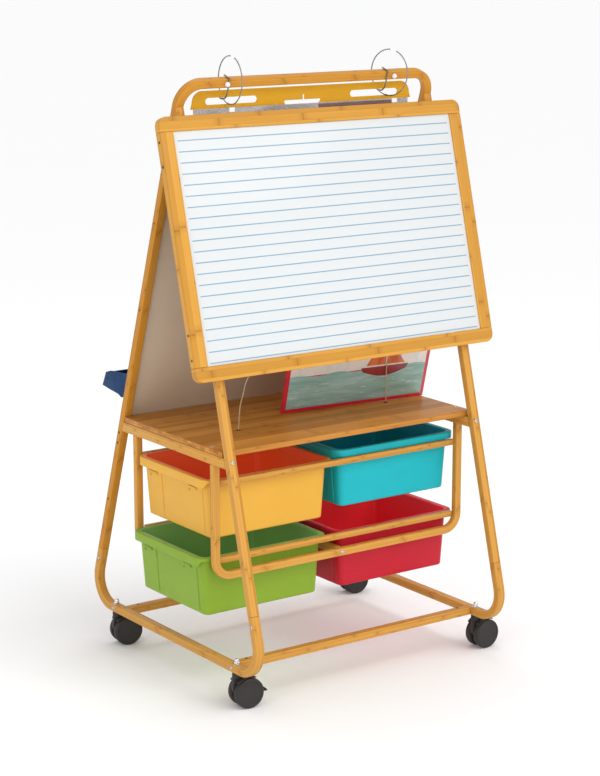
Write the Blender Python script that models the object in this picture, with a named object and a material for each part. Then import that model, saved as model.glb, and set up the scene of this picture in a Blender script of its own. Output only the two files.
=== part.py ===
"""Double-sided teaching easel in laminated bamboo, on four twin-wheel casters.

Metres, +Z up. X runs across the whiteboard, -Y is the whiteboard side and the floor is z = 0.
The two side profiles are an A: front and rear legs lean together and meet at the kink under the loop.
"""

import math

import bmesh
import bpy
from mathutils import Matrix, Vector

GAP = 0.0003  # clearance between pieces that touch
MERGE = 0.000001
EASEL = "easel"  # the empty that everything hangs from
EASEL_SHIFT = 0.0065  # brings the middle of the overall length to y = 0

# Overall
WIDTH = 0.754  # outside the legs
LEG_WIDE = 0.022  # leg section, along X
LEG_THICK = 0.020  # leg section, in the side profile
FRONT_FOOT_Y = -0.4275  # where the front legs' front face would meet the floor
REAR_FOOT_Y = 0.4275
FRONT_SLOPE = 0.2629  # metres of Y for each metre of height
REAR_SLOPE = 0.3337
LOOP_TOP = 1.464  # rear top edge of the loop; the front one is 6 mm lower
LOOP_RADIUS = 0.065
EDGE = 0.0025  # chamfer on the bamboo sections
HALF = WIDTH / 2
LEG_X = HALF - LEG_WIDE / 2
INNER_X = HALF - LEG_WIDE

# Base
BASE_LOW = 0.088
BASE_MID = BASE_LOW + LEG_THICK / 2
BEND_RADIUS = 0.075
LEG_SEAM_Z = 0.248
FRONT_SEAM_Y = -0.249
REAR_SEAM_Y = 0.254
FRONT_CROSSBAR_Y = -0.262
REAR_CROSSBAR_Y = 0.236
FRONT_STEM_Y = -0.281
REAR_STEM_Y = 0.2735

# Whiteboard
BOARD_LOW = 0.7813
BOARD_HIGH = 1.3758
BOARD_WIDE = 0.8845
BOARD_RAIL = 0.035
BOARD_THICK = 0.022
BOARD_CORNER = 0.021
SHEET_THICK = 0.005
SHEET_BACK = 0.013  # from the back of the frame to the back of the sheet

# Rear board and its marker tray
PANEL_LOW = 0.598
PANEL_HIGH = 1.330
PANEL_THICK = 0.006
TRAY_Z = 0.665
TRAY_HALF = 0.372
TRAY_WALL = 0.0025

# Shelf and tub frames
SHELF_TOP = 0.616
SHELF_THICK = 0.014
SHELF_FRONT = -0.240
SHELF_REAR = 0.200  # at the rear legs
SHELF_TONGUE = 0.2079  # between them, up to the rear panel
CLEAT_DEEP = 0.0247
TUBE_WIDE = 0.019
TUBE_DEEP = 0.016
TUBE_RADIUS = 0.050
TUB_FRAME_LOW = 0.2905
FRONT_TUBE_Y = -0.1955
REAR_TUBE_Y = 0.153
RAIL_DEEP = 0.011
RAIL_TALL = 0.015
RAIL_SETBACK = 0.0065  # the rails sit further in than the bent frames
LEDGE_DEEP = 0.009
LEDGE_TALL = 0.0055
UPPER_RAIL_Z = 0.519
LOWER_RAIL_Z = 0.331

# Tubs
TUB_LONG = 0.376
TUB_WIDE = 0.3225
TUB_TALL = 0.148
TUB_WALL = 0.0025
TUB_LIP_X = 0.014  # how far the rim stands out at the ends
TUB_LIP_Y = 0.011  # and at the sides
TUB_MID_Y = (FRONT_TUBE_Y + REAR_TUBE_Y) / 2
TUB_END_LIP = 0.022
TUB_SIDE_LIP = 0.0078
RAISED_SIDE_LIP = 0.0175
RAISED_EXTRA = 0.003  # the teal tub's rim is wider and rides on the rails

# Casters
WHEEL_RADIUS = 0.0375
WHEEL_INNER = 0.0062
WHEEL_OUTER = 0.024
TRAIL = 0.024
STEM_RADIUS = 0.005
STEM_LOW = 0.077
AXLE_RADIUS = 0.004
HUB_RECESS = 0.0015

# Hanging chart gear
HANG_Y = -0.045
HANG_THICK = 0.003
HANG_X = -0.004  # it hangs a little off centre
HANG_LOW = 1.389
HANG_HIGH = 1.431
HANG_HALF = 0.3205
HANG_FLARE = 0.004  # the ends slant outwards, down to the low edge
HANG_CORNER = 0.028
HANG_PIVOT = 1.4135  # where the slots rest in the hooks
SLOT_LOW = 1.398
SLOT_HIGH = 1.414
SLOT_INNER = 0.1375
SLOT_OUTER = 0.2835
BAG_HALF = 0.317
BAG_LOW = 0.955
RING_RADIUS = 0.0565
RING_WIRE = 0.0015
RING_CENTRE = (-0.067, 1.4545)
HOOK_WIRE = 0.002
CORD_RADIUS = 0.00125

# Display book that stands on the shelf
BOOK_WIDE = 0.422
BOOK_TALL = 0.345
BOOK_THICK = 0.008
BOOK_FOOT = (0.1692, -0.0148)
BOOK_LEAN = 0.28  # metres of Y for each metre of height
BOOK_TURN = math.radians(-5.07)

BAMBOO = ((0.70, 0.42, 0.15), 0.45, 0.0)
BAMBOO_DARK = ((0.58, 0.33, 0.11), 0.5, 0.0)
WHITE_STEEL = ((0.93, 0.94, 0.95), 0.15, 0.0)
GREY_BOARD = ((0.42, 0.40, 0.38), 0.55, 0.0)
BLUE = ((0.02, 0.08, 0.30), 0.35, 0.0)
BLACK = ((0.015, 0.015, 0.016), 0.45, 0.0)
STEEL = ((0.72, 0.73, 0.75), 0.25, 1.0)
YELLOW = ((0.86, 0.55, 0.10), 0.35, 0.0)
GREEN = ((0.24, 0.45, 0.04), 0.35, 0.0)
TEAL = ((0.0, 0.50, 0.56), 0.35, 0.0)
RED = ((0.62, 0.02, 0.05), 0.35, 0.0)
HANGER = ((0.85, 0.52, 0.03), 0.35, 0.0)
CLEAR = ((0.55, 0.50, 0.50), 0.2, 0.0)
CORD = ((0.60, 0.44, 0.22), 0.7, 0.0)
BOOK = ((0.70, 0.03, 0.05), 0.4, 0.0)


# ---------------------------------------------------------------- helpers


def material(name, look):
    colour, roughness, metallic = look
    made = bpy.data.materials.get(name)
    if made:
        return made
    made = bpy.data.materials.new(name)
    made.use_nodes = True
    shader = made.node_tree.nodes["Principled BSDF"]
    shader.inputs["Base Color"].default_value = (*colour, 1.0)
    shader.inputs["Roughness"].default_value = roughness
    shader.inputs["Metallic"].default_value = metallic
    made.diffuse_color = (*colour, 1.0)
    return made


def finish_mesh(name, work, look, origin=None, turn=0.0):
    """Turns a bmesh into a named object with outward normals; without an origin it sits at its own middle."""
    if origin is None:
        low = [min(v.co[i] for v in work.verts) for i in range(3)]
        high = [max(v.co[i] for v in work.verts) for i in range(3)]
        origin = (Vector(low) + Vector(high)) / 2
        bmesh.ops.translate(work, vec=-origin, verts=work.verts)
    bmesh.ops.recalc_face_normals(work, faces=work.faces)
    mesh = bpy.data.meshes.new(name)
    work.to_mesh(mesh)
    work.free()
    if look:
        mesh.materials.append(material(f"{name}_finish", look))
    return place_object(name, mesh, origin, turn)


def place_object(name, data, origin=(0, 0, 0), turn=0.0):
    made = bpy.data.objects.new(name, data)
    made.location = origin
    made.rotation_euler = (0, 0, turn)
    made.parent = bpy.data.objects[EASEL]
    bpy.context.scene.collection.objects.link(made)
    return made


def box(name, low, high, look):
    work = bmesh.new()
    low, high = Vector(low), Vector(high)
    size = Matrix.Diagonal((*(high - low), 1))
    bmesh.ops.create_cube(work, size=1, matrix=Matrix.Translation((low + high) / 2) @ size)
    return finish_mesh(name, work, look)


def prism(name, outline, place, low, high, look, origin=None, turn=0.0):
    """Extrudes a flat outline of (a, b) points; place(a, b, d) gives the point at depth d."""
    work = bmesh.new()
    face = work.faces.new([work.verts.new(place(a, b, low)) for a, b in outline])
    grown = bmesh.ops.extrude_face_region(work, geom=[face])["geom"]
    moved = [v for v in grown if isinstance(v, bmesh.types.BMVert)]
    bmesh.ops.translate(work, vec=place(0, 0, high) - place(0, 0, low), verts=moved)
    return finish_mesh(name, work, look, origin, turn)


def section(wide, deep, edge=EDGE):
    """A rectangle with chamfered corners, as (in-plane, across) points."""
    a, b = wide / 2, deep / 2
    return [
        (a, b - edge), (a - edge, b), (edge - a, b), (-a, b - edge),
        (-a, edge - b), (edge - a, -b), (a - edge, -b), (a, edge - b),
    ]


def circle(radius, sides):
    turns = [2 * math.pi * i / sides for i in range(sides)]
    return [(radius * math.cos(t), radius * math.sin(t)) for t in turns]


def arc(centre, radius, start, end, steps):
    """Points on an arc, from the start angle to the end angle in degrees."""
    angles = [math.radians(start + (end - start) * i / steps) for i in range(steps + 1)]
    return [(centre[0] + radius * math.cos(t), centre[1] + radius * math.sin(t)) for t in angles]


def rounded_path(corners, radius, steps=6):
    """The corners as a line whose inner corners are arcs of the given radius."""
    corners = [Vector(c) for c in corners]
    path = [corners[0]]
    for before, corner, after in zip(corners, corners[1:], corners[2:]):
        towards = (before - corner).normalized()
        away = (after - corner).normalized()
        half = towards.angle(away) / 2
        reach = radius / math.tan(half)
        centre = corner + (towards + away).normalized() * radius / math.sin(half)
        first = corner + towards * reach - centre
        sweep = math.pi - 2 * half
        axis = first.cross(corner + away * reach - centre).normalized()
        for i in range(steps + 1):
            path.append(centre + Matrix.Rotation(sweep * i / steps, 3, axis) @ first)
    return path + [corners[-1]]


def skin(name, rings, look, origin=None):
    """A closed skin over rings of points, with the first and last ring capped."""
    work = bmesh.new()
    loops = [[work.verts.new(p) for p in ring] for ring in rings]
    work.faces.new(loops[0])
    work.faces.new(loops[-1])
    for ring, beyond in zip(loops, loops[1:]):
        for i in range(len(ring)):
            j = (i + 1) % len(ring)
            work.faces.new((ring[i], ring[j], beyond[j], beyond[i]))
    return finish_mesh(name, work, look, origin)


def swept(name, path, outline, across, look, end_cut=None):
    """Sweeps a section along a flat path; end_cut is (point, normal) of the plane that its end lies on."""
    across = Vector(across).normalized()
    rings = []
    for i, here in enumerate(path):
        back = (here - path[max(i - 1, 0)]).normalized() if i else None
        ahead = (path[i + 1] - here).normalized() if i + 1 < len(path) else None
        along = ((back or ahead) + (ahead or back)).normalized()
        stretch = 1 / along.dot(ahead or back)
        side = across.cross(along)
        ring = [here + side * a * stretch + across * b for a, b in outline]
        if end_cut and i == len(path) - 1:
            at, normal = end_cut
            ring = [p + along * ((at - p).dot(normal) / along.dot(normal)) for p in ring]
        rings.append(ring)
    return skin(name, rings, look)


def wire(name, path, radius, sides, look, origin=None):
    """A round wire through the given points, with its ends closed."""
    rings = []
    up = None
    for i, here in enumerate(path):
        before, after = path[max(i - 1, 0)], path[min(i + 1, len(path) - 1)]
        along = (after - before).normalized()
        up = (up - along * up.dot(along)).normalized() if up else along.orthogonal().normalized()
        side = along.cross(up)
        rings.append([here + up * a + side * b for a, b in circle(radius, sides)])
    made = skin(name, rings, look, origin)
    smooth(made)
    return made


def smooth_curve(knots, steps=4):
    """A Catmull-Rom line through the knots."""
    knots = [Vector(k) for k in knots]
    ends = [2 * knots[0] - knots[1]] + knots + [2 * knots[-1] - knots[-2]]
    path = [knots[0]]
    for a, b, c, d in zip(ends, ends[1:], ends[2:], ends[3:]):
        for i in range(1, steps + 1):
            t = i / steps
            path.append(
                0.5 * (2 * b + (c - a) * t + (2 * a - 5 * b + 4 * c - d) * t**2 + (3 * b - a - 3 * c + d) * t**3)
            )
    return path


def turned(name, profile, sides, axis, look, origin=(0, 0, 0), turn=0.0):
    """Spins a profile of (radius, height) points about Z or Y, from the axis back to the axis."""
    work = bmesh.new()
    upright = axis == "Z"
    line = [work.verts.new((r, 0, h) if upright else (r, h, 0)) for r, h in profile]
    edges = [work.edges.new(pair) for pair in zip(line, line[1:])]
    about = (0, 0, 1) if upright else (0, 1, 0)
    bmesh.ops.spin(work, geom=line + edges, axis=about, cent=(0, 0, 0), angle=math.tau, steps=sides)
    bmesh.ops.remove_doubles(work, verts=work.verts, dist=MERGE)
    made = finish_mesh(name, work, look, origin, turn)
    smooth(made)
    return made


def smooth(made):
    for face in made.data.polygons:
        face.use_smooth = True


def combine(target, operation, tool):
    """Adds a Boolean with a hidden helper object."""
    tool.hide_render = True
    tool.display_type = "WIRE"
    change = target.modifiers.new(f"{operation.lower()}_{tool.name}", "BOOLEAN")
    change.operation = operation
    change.solver = "EXACT"
    change.object = tool


# ---------------------------------------------------------------- side profiles

FRONT_TILT = math.atan(FRONT_SLOPE)
REAR_TILT = math.atan(REAR_SLOPE)
FRONT_UP = Vector((0, math.sin(FRONT_TILT), math.cos(FRONT_TILT)))
FRONT_OUT = Vector((0, -math.cos(FRONT_TILT), math.sin(FRONT_TILT)))
REAR_UP = Vector((0, -math.sin(REAR_TILT), math.cos(REAR_TILT)))
REAR_OUT = Vector((0, math.cos(REAR_TILT), math.sin(REAR_TILT)))


def front_face(x, z, out=0.0):
    """The point of the front legs' front face at height z, moved out along its normal."""
    return Vector((x, FRONT_FOOT_Y + FRONT_SLOPE * z, z)) + FRONT_OUT * out


def rear_face(x, z, out=0.0):
    """The same on the back face of the rear legs."""
    return Vector((x, REAR_FOOT_Y - REAR_SLOPE * z, z)) + REAR_OUT * out


def inner_front_y(z):
    """Where the inner face of the front legs is at height z, with the clearance."""
    return FRONT_FOOT_Y + FRONT_SLOPE * z + (LEG_THICK + GAP) * math.hypot(1, FRONT_SLOPE)


def inner_rear_y(z):
    return REAR_FOOT_Y - REAR_SLOPE * z - (LEG_THICK + GAP) * math.hypot(1, REAR_SLOPE)


def meets_base(foot_y, slope):
    """Where a leg's centre line, leaning by slope, crosses the base's centre line."""
    inward = math.copysign(LEG_THICK / 2 * math.hypot(1, slope), -foot_y)
    return foot_y + inward - math.copysign(slope * BASE_MID, foot_y)


def frames():
    """The rear loop frame, the front legs, the four bent corners, the base bars and crossbars."""
    centre = -LEG_THICK / 2
    foot = rear_face(0, LEG_SEAM_Z + GAP, centre)
    crown = rear_face(0, LOOP_TOP, -LEG_THICK) - REAR_UP * LEG_WIDE / 2 - REAR_OUT * centre
    corners = [Vector((x, p.y, p.z)) for x, p in ((-LEG_X, foot), (-LEG_X, crown), (LEG_X, crown), (LEG_X, foot))]
    path = rounded_path(corners, LOOP_RADIUS - LEG_WIDE / 2, 7)
    swept("rear_frame", path, section(LEG_WIDE, LEG_THICK), REAR_OUT, BAMBOO)

    kink = (rear_face(0, 1, -LEG_THICK - GAP), REAR_OUT)
    for side, word in ((-1, "left"), (1, "right")):
        x = side * LEG_X
        leg = [front_face(x, LEG_SEAM_Z + GAP, centre), front_face(x, 1.38, centre)]
        swept(f"front_leg_{word}", leg, section(LEG_THICK, LEG_WIDE), (1, 0, 0), BAMBOO, end_cut=kink)
        corner_piece(f"front_corner_{word}", x, FRONT_FOOT_Y, front_face, FRONT_SLOPE, FRONT_SEAM_Y, FRONT_STEM_Y)
        corner_piece(f"rear_corner_{word}", x, REAR_FOOT_Y, rear_face, REAR_SLOPE, REAR_SEAM_Y, REAR_STEM_Y)
        bar = [Vector((x, FRONT_SEAM_Y + GAP, BASE_MID)), Vector((x, REAR_SEAM_Y - GAP, BASE_MID))]
        swept(f"base_bar_{word}", bar, section(LEG_THICK, LEG_WIDE), (1, 0, 0), BAMBOO)

    for word, y in (("front", FRONT_CROSSBAR_Y), ("rear", REAR_CROSSBAR_Y)):
        bar = [Vector((x, y, BASE_MID)) for x in (GAP - INNER_X, INNER_X - GAP)]
        swept(f"{word}_crossbar", bar, section(LEG_WIDE, LEG_THICK), (0, 0, 1), BAMBOO)


def corner_piece(name, x, foot_y, face, slope, seam_y, stem_y):
    """A bent corner, from the seam on the leg round to the seam on the base bar, bored for its caster stem."""
    start = face(x, LEG_SEAM_Z - GAP, -LEG_THICK / 2)
    turn = Vector((x, meets_base(foot_y, slope), BASE_MID))
    end = Vector((x, seam_y, BASE_MID))
    path = rounded_path([start, turn, end], BEND_RADIUS - LEG_THICK / 2, 6)
    made = swept(name, path, section(LEG_THICK, LEG_WIDE), (1, 0, 0), BAMBOO)
    bore = turned(f"{name}_bore", [(0, 0), (0.0054, 0), (0.0054, 0.1), (0, 0.1)], 16, "Z", None, (x, stem_y, 0.05))
    combine(made, "DIFFERENCE", bore)


# ---------------------------------------------------------------- boards


def on_front(a, b, d):
    """Whiteboard coordinates: across, up the slope from its low edge, and out from the legs."""
    return front_face(a, BOARD_LOW, d) + FRONT_UP * b


def whiteboard():
    tall = (BOARD_HIGH - BOARD_LOW) / math.cos(FRONT_TILT)
    half, inner = BOARD_WIDE / 2, BOARD_WIDE / 2 - BOARD_RAIL
    radius = BOARD_CORNER
    low = arc((radius - half, radius), radius, 180, 270, 4) + arc((half - radius, radius), radius, 270, 360, 4)
    low += [(half, BOARD_RAIL), (-half, BOARD_RAIL)]
    high = [(a, tall - b) for a, b in low]
    prism("board_rail_bottom", low, on_front, GAP, BOARD_THICK, BAMBOO)
    prism("board_rail_top", high, on_front, GAP, BOARD_THICK, BAMBOO)
    rise = (BOARD_RAIL + GAP, tall - BOARD_RAIL - GAP)
    for side, word in ((-1, "left"), (1, "right")):
        rail = [(side * a, b) for a, b in ((inner, rise[0]), (half, rise[0]), (half, rise[1]), (inner, rise[1]))]
        prism(f"board_rail_{word}", rail, on_front, GAP, BOARD_THICK, BAMBOO)
    reach = inner - GAP
    sheet = [(-reach, rise[0]), (reach, rise[0]), (reach, rise[1]), (-reach, rise[1])]
    prism("whiteboard_sheet", sheet, on_front, SHEET_BACK, SHEET_BACK + SHEET_THICK, WHITE_STEEL)


def rear_board():
    half = INNER_X - GAP
    tall = (PANEL_HIGH - PANEL_LOW) / math.cos(REAR_TILT)
    outline = [(-half, 0), (half, 0), (half, tall), (-half, tall)]

    def place(a, b, d):
        return rear_face(a, PANEL_LOW, d) + REAR_UP * b

    middle = -LEG_THICK / 2
    prism("rear_panel", outline, place, middle - PANEL_THICK / 2, middle + PANEL_THICK / 2, GREY_BOARD)


def marker_tray():
    """A trough across the back of the rear legs: back plate, floor, lip and two end walls."""
    side = [(GAP, 0.0), (GAP, 0.070), (0.006, 0.070), (0.010, 0.060), (0.033, 0.0505), (0.060, 0.041)]
    side += [(0.083, 0.030), (0.101, 0.017), (0.107, -0.0235), (0.069, -0.0165), (0.031, -0.0085), (0.015, -0.0100)]
    inside = [(TRAY_WALL + GAP, 0.0035), (TRAY_WALL + GAP, 0.090), (0.0975, 0.090), (0.0985, 0.0165)]
    inside += [(0.1040, -0.0205), (0.069, -0.0140), (0.031, -0.0060), (0.014, -0.0070)]

    def place(a, b, d):
        return rear_face(d, TRAY_Z, a) + REAR_UP * b

    tray = prism("marker_tray", side, place, -TRAY_HALF, TRAY_HALF, BLUE)
    hollow = prism("marker_tray_hollow", inside, place, TRAY_WALL - TRAY_HALF, TRAY_HALF - TRAY_WALL, None)
    combine(tray, "DIFFERENCE", hollow)


# ---------------------------------------------------------------- shelf and tub frames


def shelf():
    low = SHELF_TOP - SHELF_THICK
    tongue = INNER_X - GAP
    right = [(HALF, SHELF_FRONT), (HALF, SHELF_REAR), (tongue, SHELF_REAR), (tongue, SHELF_TONGUE)]
    left = [(-x, y) for x, y in reversed(right)]
    prism("shelf_board", right + left, lambda a, b, d: Vector((a, b, d)), low, SHELF_TOP, BAMBOO)
    high = low - GAP
    foot = high - CLEAT_DEEP
    outline = [(inner_front_y(foot), foot), (inner_front_y(high), high)]
    outline += [(inner_rear_y(high), high), (inner_rear_y(foot), foot)]
    for side, word in ((-1, "left"), (1, "right")):
        low_x, high_x = sorted((side * INNER_X, side * HALF))
        prism(f"shelf_cleat_{word}", outline, lambda a, b, d: Vector((d, a, b)), low_x, high_x, BAMBOO)


def tub_frames():
    """Two bent U frames under the shelf, the ledged rails that carry the tubs, and the low stretcher."""
    top = SHELF_TOP - SHELF_THICK - CLEAT_DEEP - 2 * GAP
    low = TUB_FRAME_LOW + TUBE_WIDE / 2
    reach = HALF - TUBE_WIDE / 2
    for word, y, inward in (("front", FRONT_TUBE_Y, 1), ("rear", REAR_TUBE_Y, -1)):
        corners = [(-reach, y, top), (-reach, y, low), (reach, y, low), (reach, y, top)]
        path = rounded_path(corners, TUBE_RADIUS - TUBE_WIDE / 2)
        swept(f"tub_frame_{word}", path, section(TUBE_WIDE, TUBE_DEEP), (0, 1, 0), BAMBOO)
        for level, z in (("upper", UPPER_RAIL_Z), ("lower", LOWER_RAIL_Z)):
            tub_rail(f"tub_rail_{level}_{word}", y, z, inward)
    end = TUBE_DEEP / 2 + GAP
    stretcher = [Vector((0, y, low)) for y in (FRONT_TUBE_Y + end, REAR_TUBE_Y - end)]
    swept("tub_frame_stretcher", stretcher, section(TUBE_WIDE, 0.018), (1, 0, 0), BAMBOO)


def tub_rail(name, y, z, inward):
    """An L-shaped rail: its ledge, on the inner side, carries the tub rims."""
    outer = y + inward * (RAIL_SETBACK - RAIL_DEEP / 2)
    inner = outer + inward * RAIL_DEEP
    ledge = inner + inward * LEDGE_DEEP
    outline = [(outer, z), (outer, z + RAIL_TALL), (inner, z + RAIL_TALL)]
    outline += [(inner, z + LEDGE_TALL), (ledge, z + LEDGE_TALL), (ledge, z)]
    reach = HALF - TUBE_WIDE - GAP
    if z == LOWER_RAIL_Z:
        reach -= 0.004  # clears the bend of the U
    prism(name, outline, lambda a, b, d: Vector((d, a, b)), -reach, reach, BAMBOO)


# ---------------------------------------------------------------- tubs


def rounded_rectangle(long, wide, radius, steps=4):
    a, b = long / 2 - radius, wide / 2 - radius
    points = []
    for x, y, start in ((a, b, 0), (-a, b, 90), (-a, -b, 180), (a, -b, 270)):
        points += arc((x, y), radius, start, start + 90, steps)
    return points


def tub(name, x, top, look, side_lip, extra=0.0):
    """An open tub with drafted walls and a hollow rim that is deeper at the two ends."""
    long, wide = TUB_LONG, TUB_WIDE + 2 * extra
    body_long, body_wide = TUB_LONG - 2 * TUB_LIP_X, TUB_WIDE - 2 * TUB_LIP_Y
    foot_long, foot_wide = body_long - 0.020, body_wide - 0.012
    under = -0.0024

    def level(size_long, size_wide, radius, z):
        return [(a, b, z) for a, b in rounded_rectangle(size_long, size_wide, radius)]

    def lip(inset):
        ring = []
        for a, b in rounded_rectangle(long - 2 * inset, wide - 2 * inset, 0.030 - inset):
            at_end = min(max((wide / 2 - abs(b) - 0.0104) / 0.008, 0), 1) if abs(a) > long / 2 - 0.030 else 0
            ring.append((a, b, -side_lip - (TUB_END_LIP - side_lip) * at_end))
        return ring

    rings = [
        level(foot_long - 0.010, foot_wide - 0.010, 0.018, -TUB_TALL),
        level(foot_long, foot_wide, 0.022, 0.004 - TUB_TALL),
        level(body_long, body_wide, 0.024, under),
        level(long - 0.004, wide - 0.004, 0.028, under),
        lip(0.002),
        lip(0.0),
        level(long, wide, 0.030, -0.0015),
        level(long - 0.003, wide - 0.003, 0.0285, 0),
        level(body_long - 0.003, body_wide - 0.003, 0.0225, 0),
        level(body_long - 2 * TUB_WALL, body_wide - 2 * TUB_WALL, 0.0215, -0.0015),
        level(foot_long - 2 * TUB_WALL, foot_wide - 2 * TUB_WALL, 0.0195, 0.007 - TUB_TALL),
        level(foot_long - 0.014, foot_wide - 0.014, 0.016, 0.003 - TUB_TALL),
    ]
    skin(name, rings, look, (x, TUB_MID_Y, top))


def tubs():
    upper = UPPER_RAIL_Z + LEDGE_TALL + GAP + TUB_SIDE_LIP
    lower = LOWER_RAIL_Z + LEDGE_TALL + GAP + TUB_SIDE_LIP
    raised = UPPER_RAIL_Z + RAIL_TALL + GAP + RAISED_SIDE_LIP
    tub("tub_yellow", -0.195, upper, YELLOW, TUB_SIDE_LIP)
    tub("tub_green", -0.213, lower, GREEN, TUB_SIDE_LIP)
    tub("tub_teal", 0.184, raised, TEAL, RAISED_SIDE_LIP, RAISED_EXTRA)
    tub("tub_red", 0.186, lower, RED, TUB_SIDE_LIP)


# ---------------------------------------------------------------- casters

CASTERS = {
    "front_left": (-LEG_X, FRONT_STEM_Y, -6, True),
    "front_right": (LEG_X, FRONT_STEM_Y, 2, False),
    "rear_left": (-LEG_X, REAR_STEM_Y, -9, False),
    "rear_right": (LEG_X, REAR_STEM_Y, -4, True),
}


def side_on(a, b, d):
    """Wheel coordinates: trailing, up and across the wheels."""
    return Vector((a, d, b))


def from_stem(a, b, d):
    """The same, seen from the swivel axis at the axle's height."""
    return Vector((a + TRAIL, d, b))


def caster(word, x, y, heading, braked):
    """A fixed stem with its cap nut, a swivelling body with the axle, two wheels and maybe a brake pedal."""
    turn = math.radians(heading)
    top = BASE_LOW + LEG_THICK + GAP
    profile = [(0, 0.0145), (0.0035, 0.0138), (0.0058, 0.0105), (0.0060, 0.0075), (0.0088, 0.0070), (0.0088, 0)]
    profile = [(r, h + top) for r, h in profile]
    profile += [(STEM_RADIUS, top), (STEM_RADIUS, STEM_LOW), (0, STEM_LOW)]
    turned(f"caster_stem_{word}", profile, 16, "Z", STEEL, (x, y, 0))

    swivel = Vector((x, y, WHEEL_RADIUS))
    hub = swivel + Vector((math.cos(turn), math.sin(turn), 0)) * TRAIL
    web = [(-0.036, 0.047), (-0.036, 0.016), (-0.022, -0.014), (0, -0.022), (0.018, -0.014), (0.0245, 0.004)]
    web += [(0.0245, 0.022), (0.014, 0.036), (-0.010, 0.047)]
    body = prism(f"caster_body_{word}", web, from_stem, -0.0052, 0.0052, BLACK, swivel, turn)
    hood = arc((0, 0), 0.0425, 68, 158, 6) + arc((0, 0), 0.0395, 158, 68, 6)
    combine(body, "UNION", prism(f"hood_{word}", hood, from_stem, -0.0215, 0.0215, None, swivel, turn))
    low, high = STEM_LOW - 0.003, BASE_LOW - 0.0008
    socket = [(0, low), (0.0115, low), (0.0115, high), (0, high)]
    combine(body, "UNION", turned(f"socket_{word}", socket, 20, "Z", None, (x, y, 0)))
    reach = WHEEL_OUTER - 0.0045
    axle = [(0, -reach), (AXLE_RADIUS, -reach), (AXLE_RADIUS, reach), (0, reach)]
    combine(body, "UNION", turned(f"axle_{word}", axle, 16, "Y", None, hub, turn))
    low, bore = STEM_LOW - GAP, STEM_RADIUS + GAP
    bore = [(0, low), (bore, low), (bore, 0.1), (0, 0.1)]
    combine(body, "DIFFERENCE", turned(f"stem_bore_{word}", bore, 16, "Z", None, (x, y, 0)))

    bore = AXLE_RADIUS + GAP
    tyre = [
        (0, WHEEL_OUTER - 0.0035), (bore, WHEEL_OUTER - 0.0035), (bore, WHEEL_INNER), (0.034, WHEEL_INNER),
        (WHEEL_RADIUS, 0.0095), (WHEEL_RADIUS, 0.0205), (0.0352, 0.0235), (0.0325, WHEEL_OUTER),
        (0.029, WHEEL_OUTER), (0.028, WHEEL_OUTER - HUB_RECESS), (0.009, WHEEL_OUTER - HUB_RECESS),
        (0, WHEEL_OUTER),
    ]
    for side, which in ((-1, "outer"), (1, "inner")):
        profile = [(r, side * h) for r, h in tyre]
        turned(f"caster_wheel_{word}_{which}", profile, 24, "Y", BLACK, hub, turn)
    if braked:
        brake_pedal(f"brake_pedal_{word}", hub, turn)


def brake_pedal(name, hub, turn):
    """A lever between the wheels with a wider pad behind them; its origin is on its pivot."""
    pivot = (0.0305, -0.0015)
    lever = [(-0.004, 0.002), (0.0, 0.006), (0.010, 0.0035), (0.020, 0.001), (0.020, -0.0025), (0.008, -0.002)]
    lever += [(0.0, -0.005), (-0.004, -0.002)]
    place = hub + Matrix.Rotation(turn, 3, "Z") @ Vector((pivot[0], 0, pivot[1]))
    made = prism(name, lever, side_on, -0.0045, 0.0045, BLACK, place, turn)
    pad = [(0.0100, -0.0025), (0.0100, 0.0010), (0.0195, 0.0014), (0.0205, 0.0006), (0.0205, -0.0030)]
    combine(made, "UNION", prism(f"pad_{name}", pad, side_on, -0.012, 0.012, None, place, turn))


# ---------------------------------------------------------------- hanging gear


def hanger():
    """A plastic header with two slots and a finger grip, and the clear bag that hangs from it."""

    pivot = Vector((0, HANG_Y, HANG_PIVOT))

    def place(a, b, d):
        return Vector((a + HANG_X, d, b - HANG_PIVOT))

    half = HANG_THICK / 2
    reach, high = HANG_HALF - HANG_CORNER, HANG_HIGH - HANG_CORNER
    outline = [(-HANG_HALF - HANG_FLARE, HANG_LOW), (HANG_HALF + HANG_FLARE, HANG_LOW)]
    outline += arc((reach, high), HANG_CORNER, 0, 90, 5)
    outline += arc((-reach, high), HANG_CORNER, 90, 180, 5)
    header = prism("hanger", outline, place, -half, half, HANGER, pivot)
    middle, end = (SLOT_LOW + SLOT_HIGH) / 2, (SLOT_HIGH - SLOT_LOW) / 2
    for side, word in ((-1, "left"), (1, "right")):
        low, high = sorted((side * SLOT_INNER, side * SLOT_OUTER))
        slot = arc((high - end, middle), end, -90, 90, 4) + arc((low + end, middle), end, 90, 270, 4)
        combine(header, "DIFFERENCE", prism(f"slot_{word}", slot, place, -0.01, 0.01, None, pivot))
    grip = [(-0.052, HANG_LOW - 0.01), (0.040, HANG_LOW - 0.01), (0.050, 1.3985), (0.0005, 1.3985)]
    grip += [(0.0005, 1.4110), (-0.0045, 1.4110), (-0.0045, 1.3985), (-0.060, 1.3985)]
    combine(header, "DIFFERENCE", prism("finger_grip", grip, place, -0.01, 0.01, None, pivot))

    top = HANG_LOW - GAP
    bag = [(-BAG_HALF, top), (-BAG_HALF, BAG_LOW), (BAG_HALF, BAG_LOW), (BAG_HALF, top)]
    for at in (0.276, -0.208):
        bag += [(at + 0.008, top), (at + 0.008, top - 0.010), (at - 0.008, top - 0.010), (at - 0.008, top)]
    prism("chart_bag", bag, place, -half, half, CLEAR, pivot)


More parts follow.
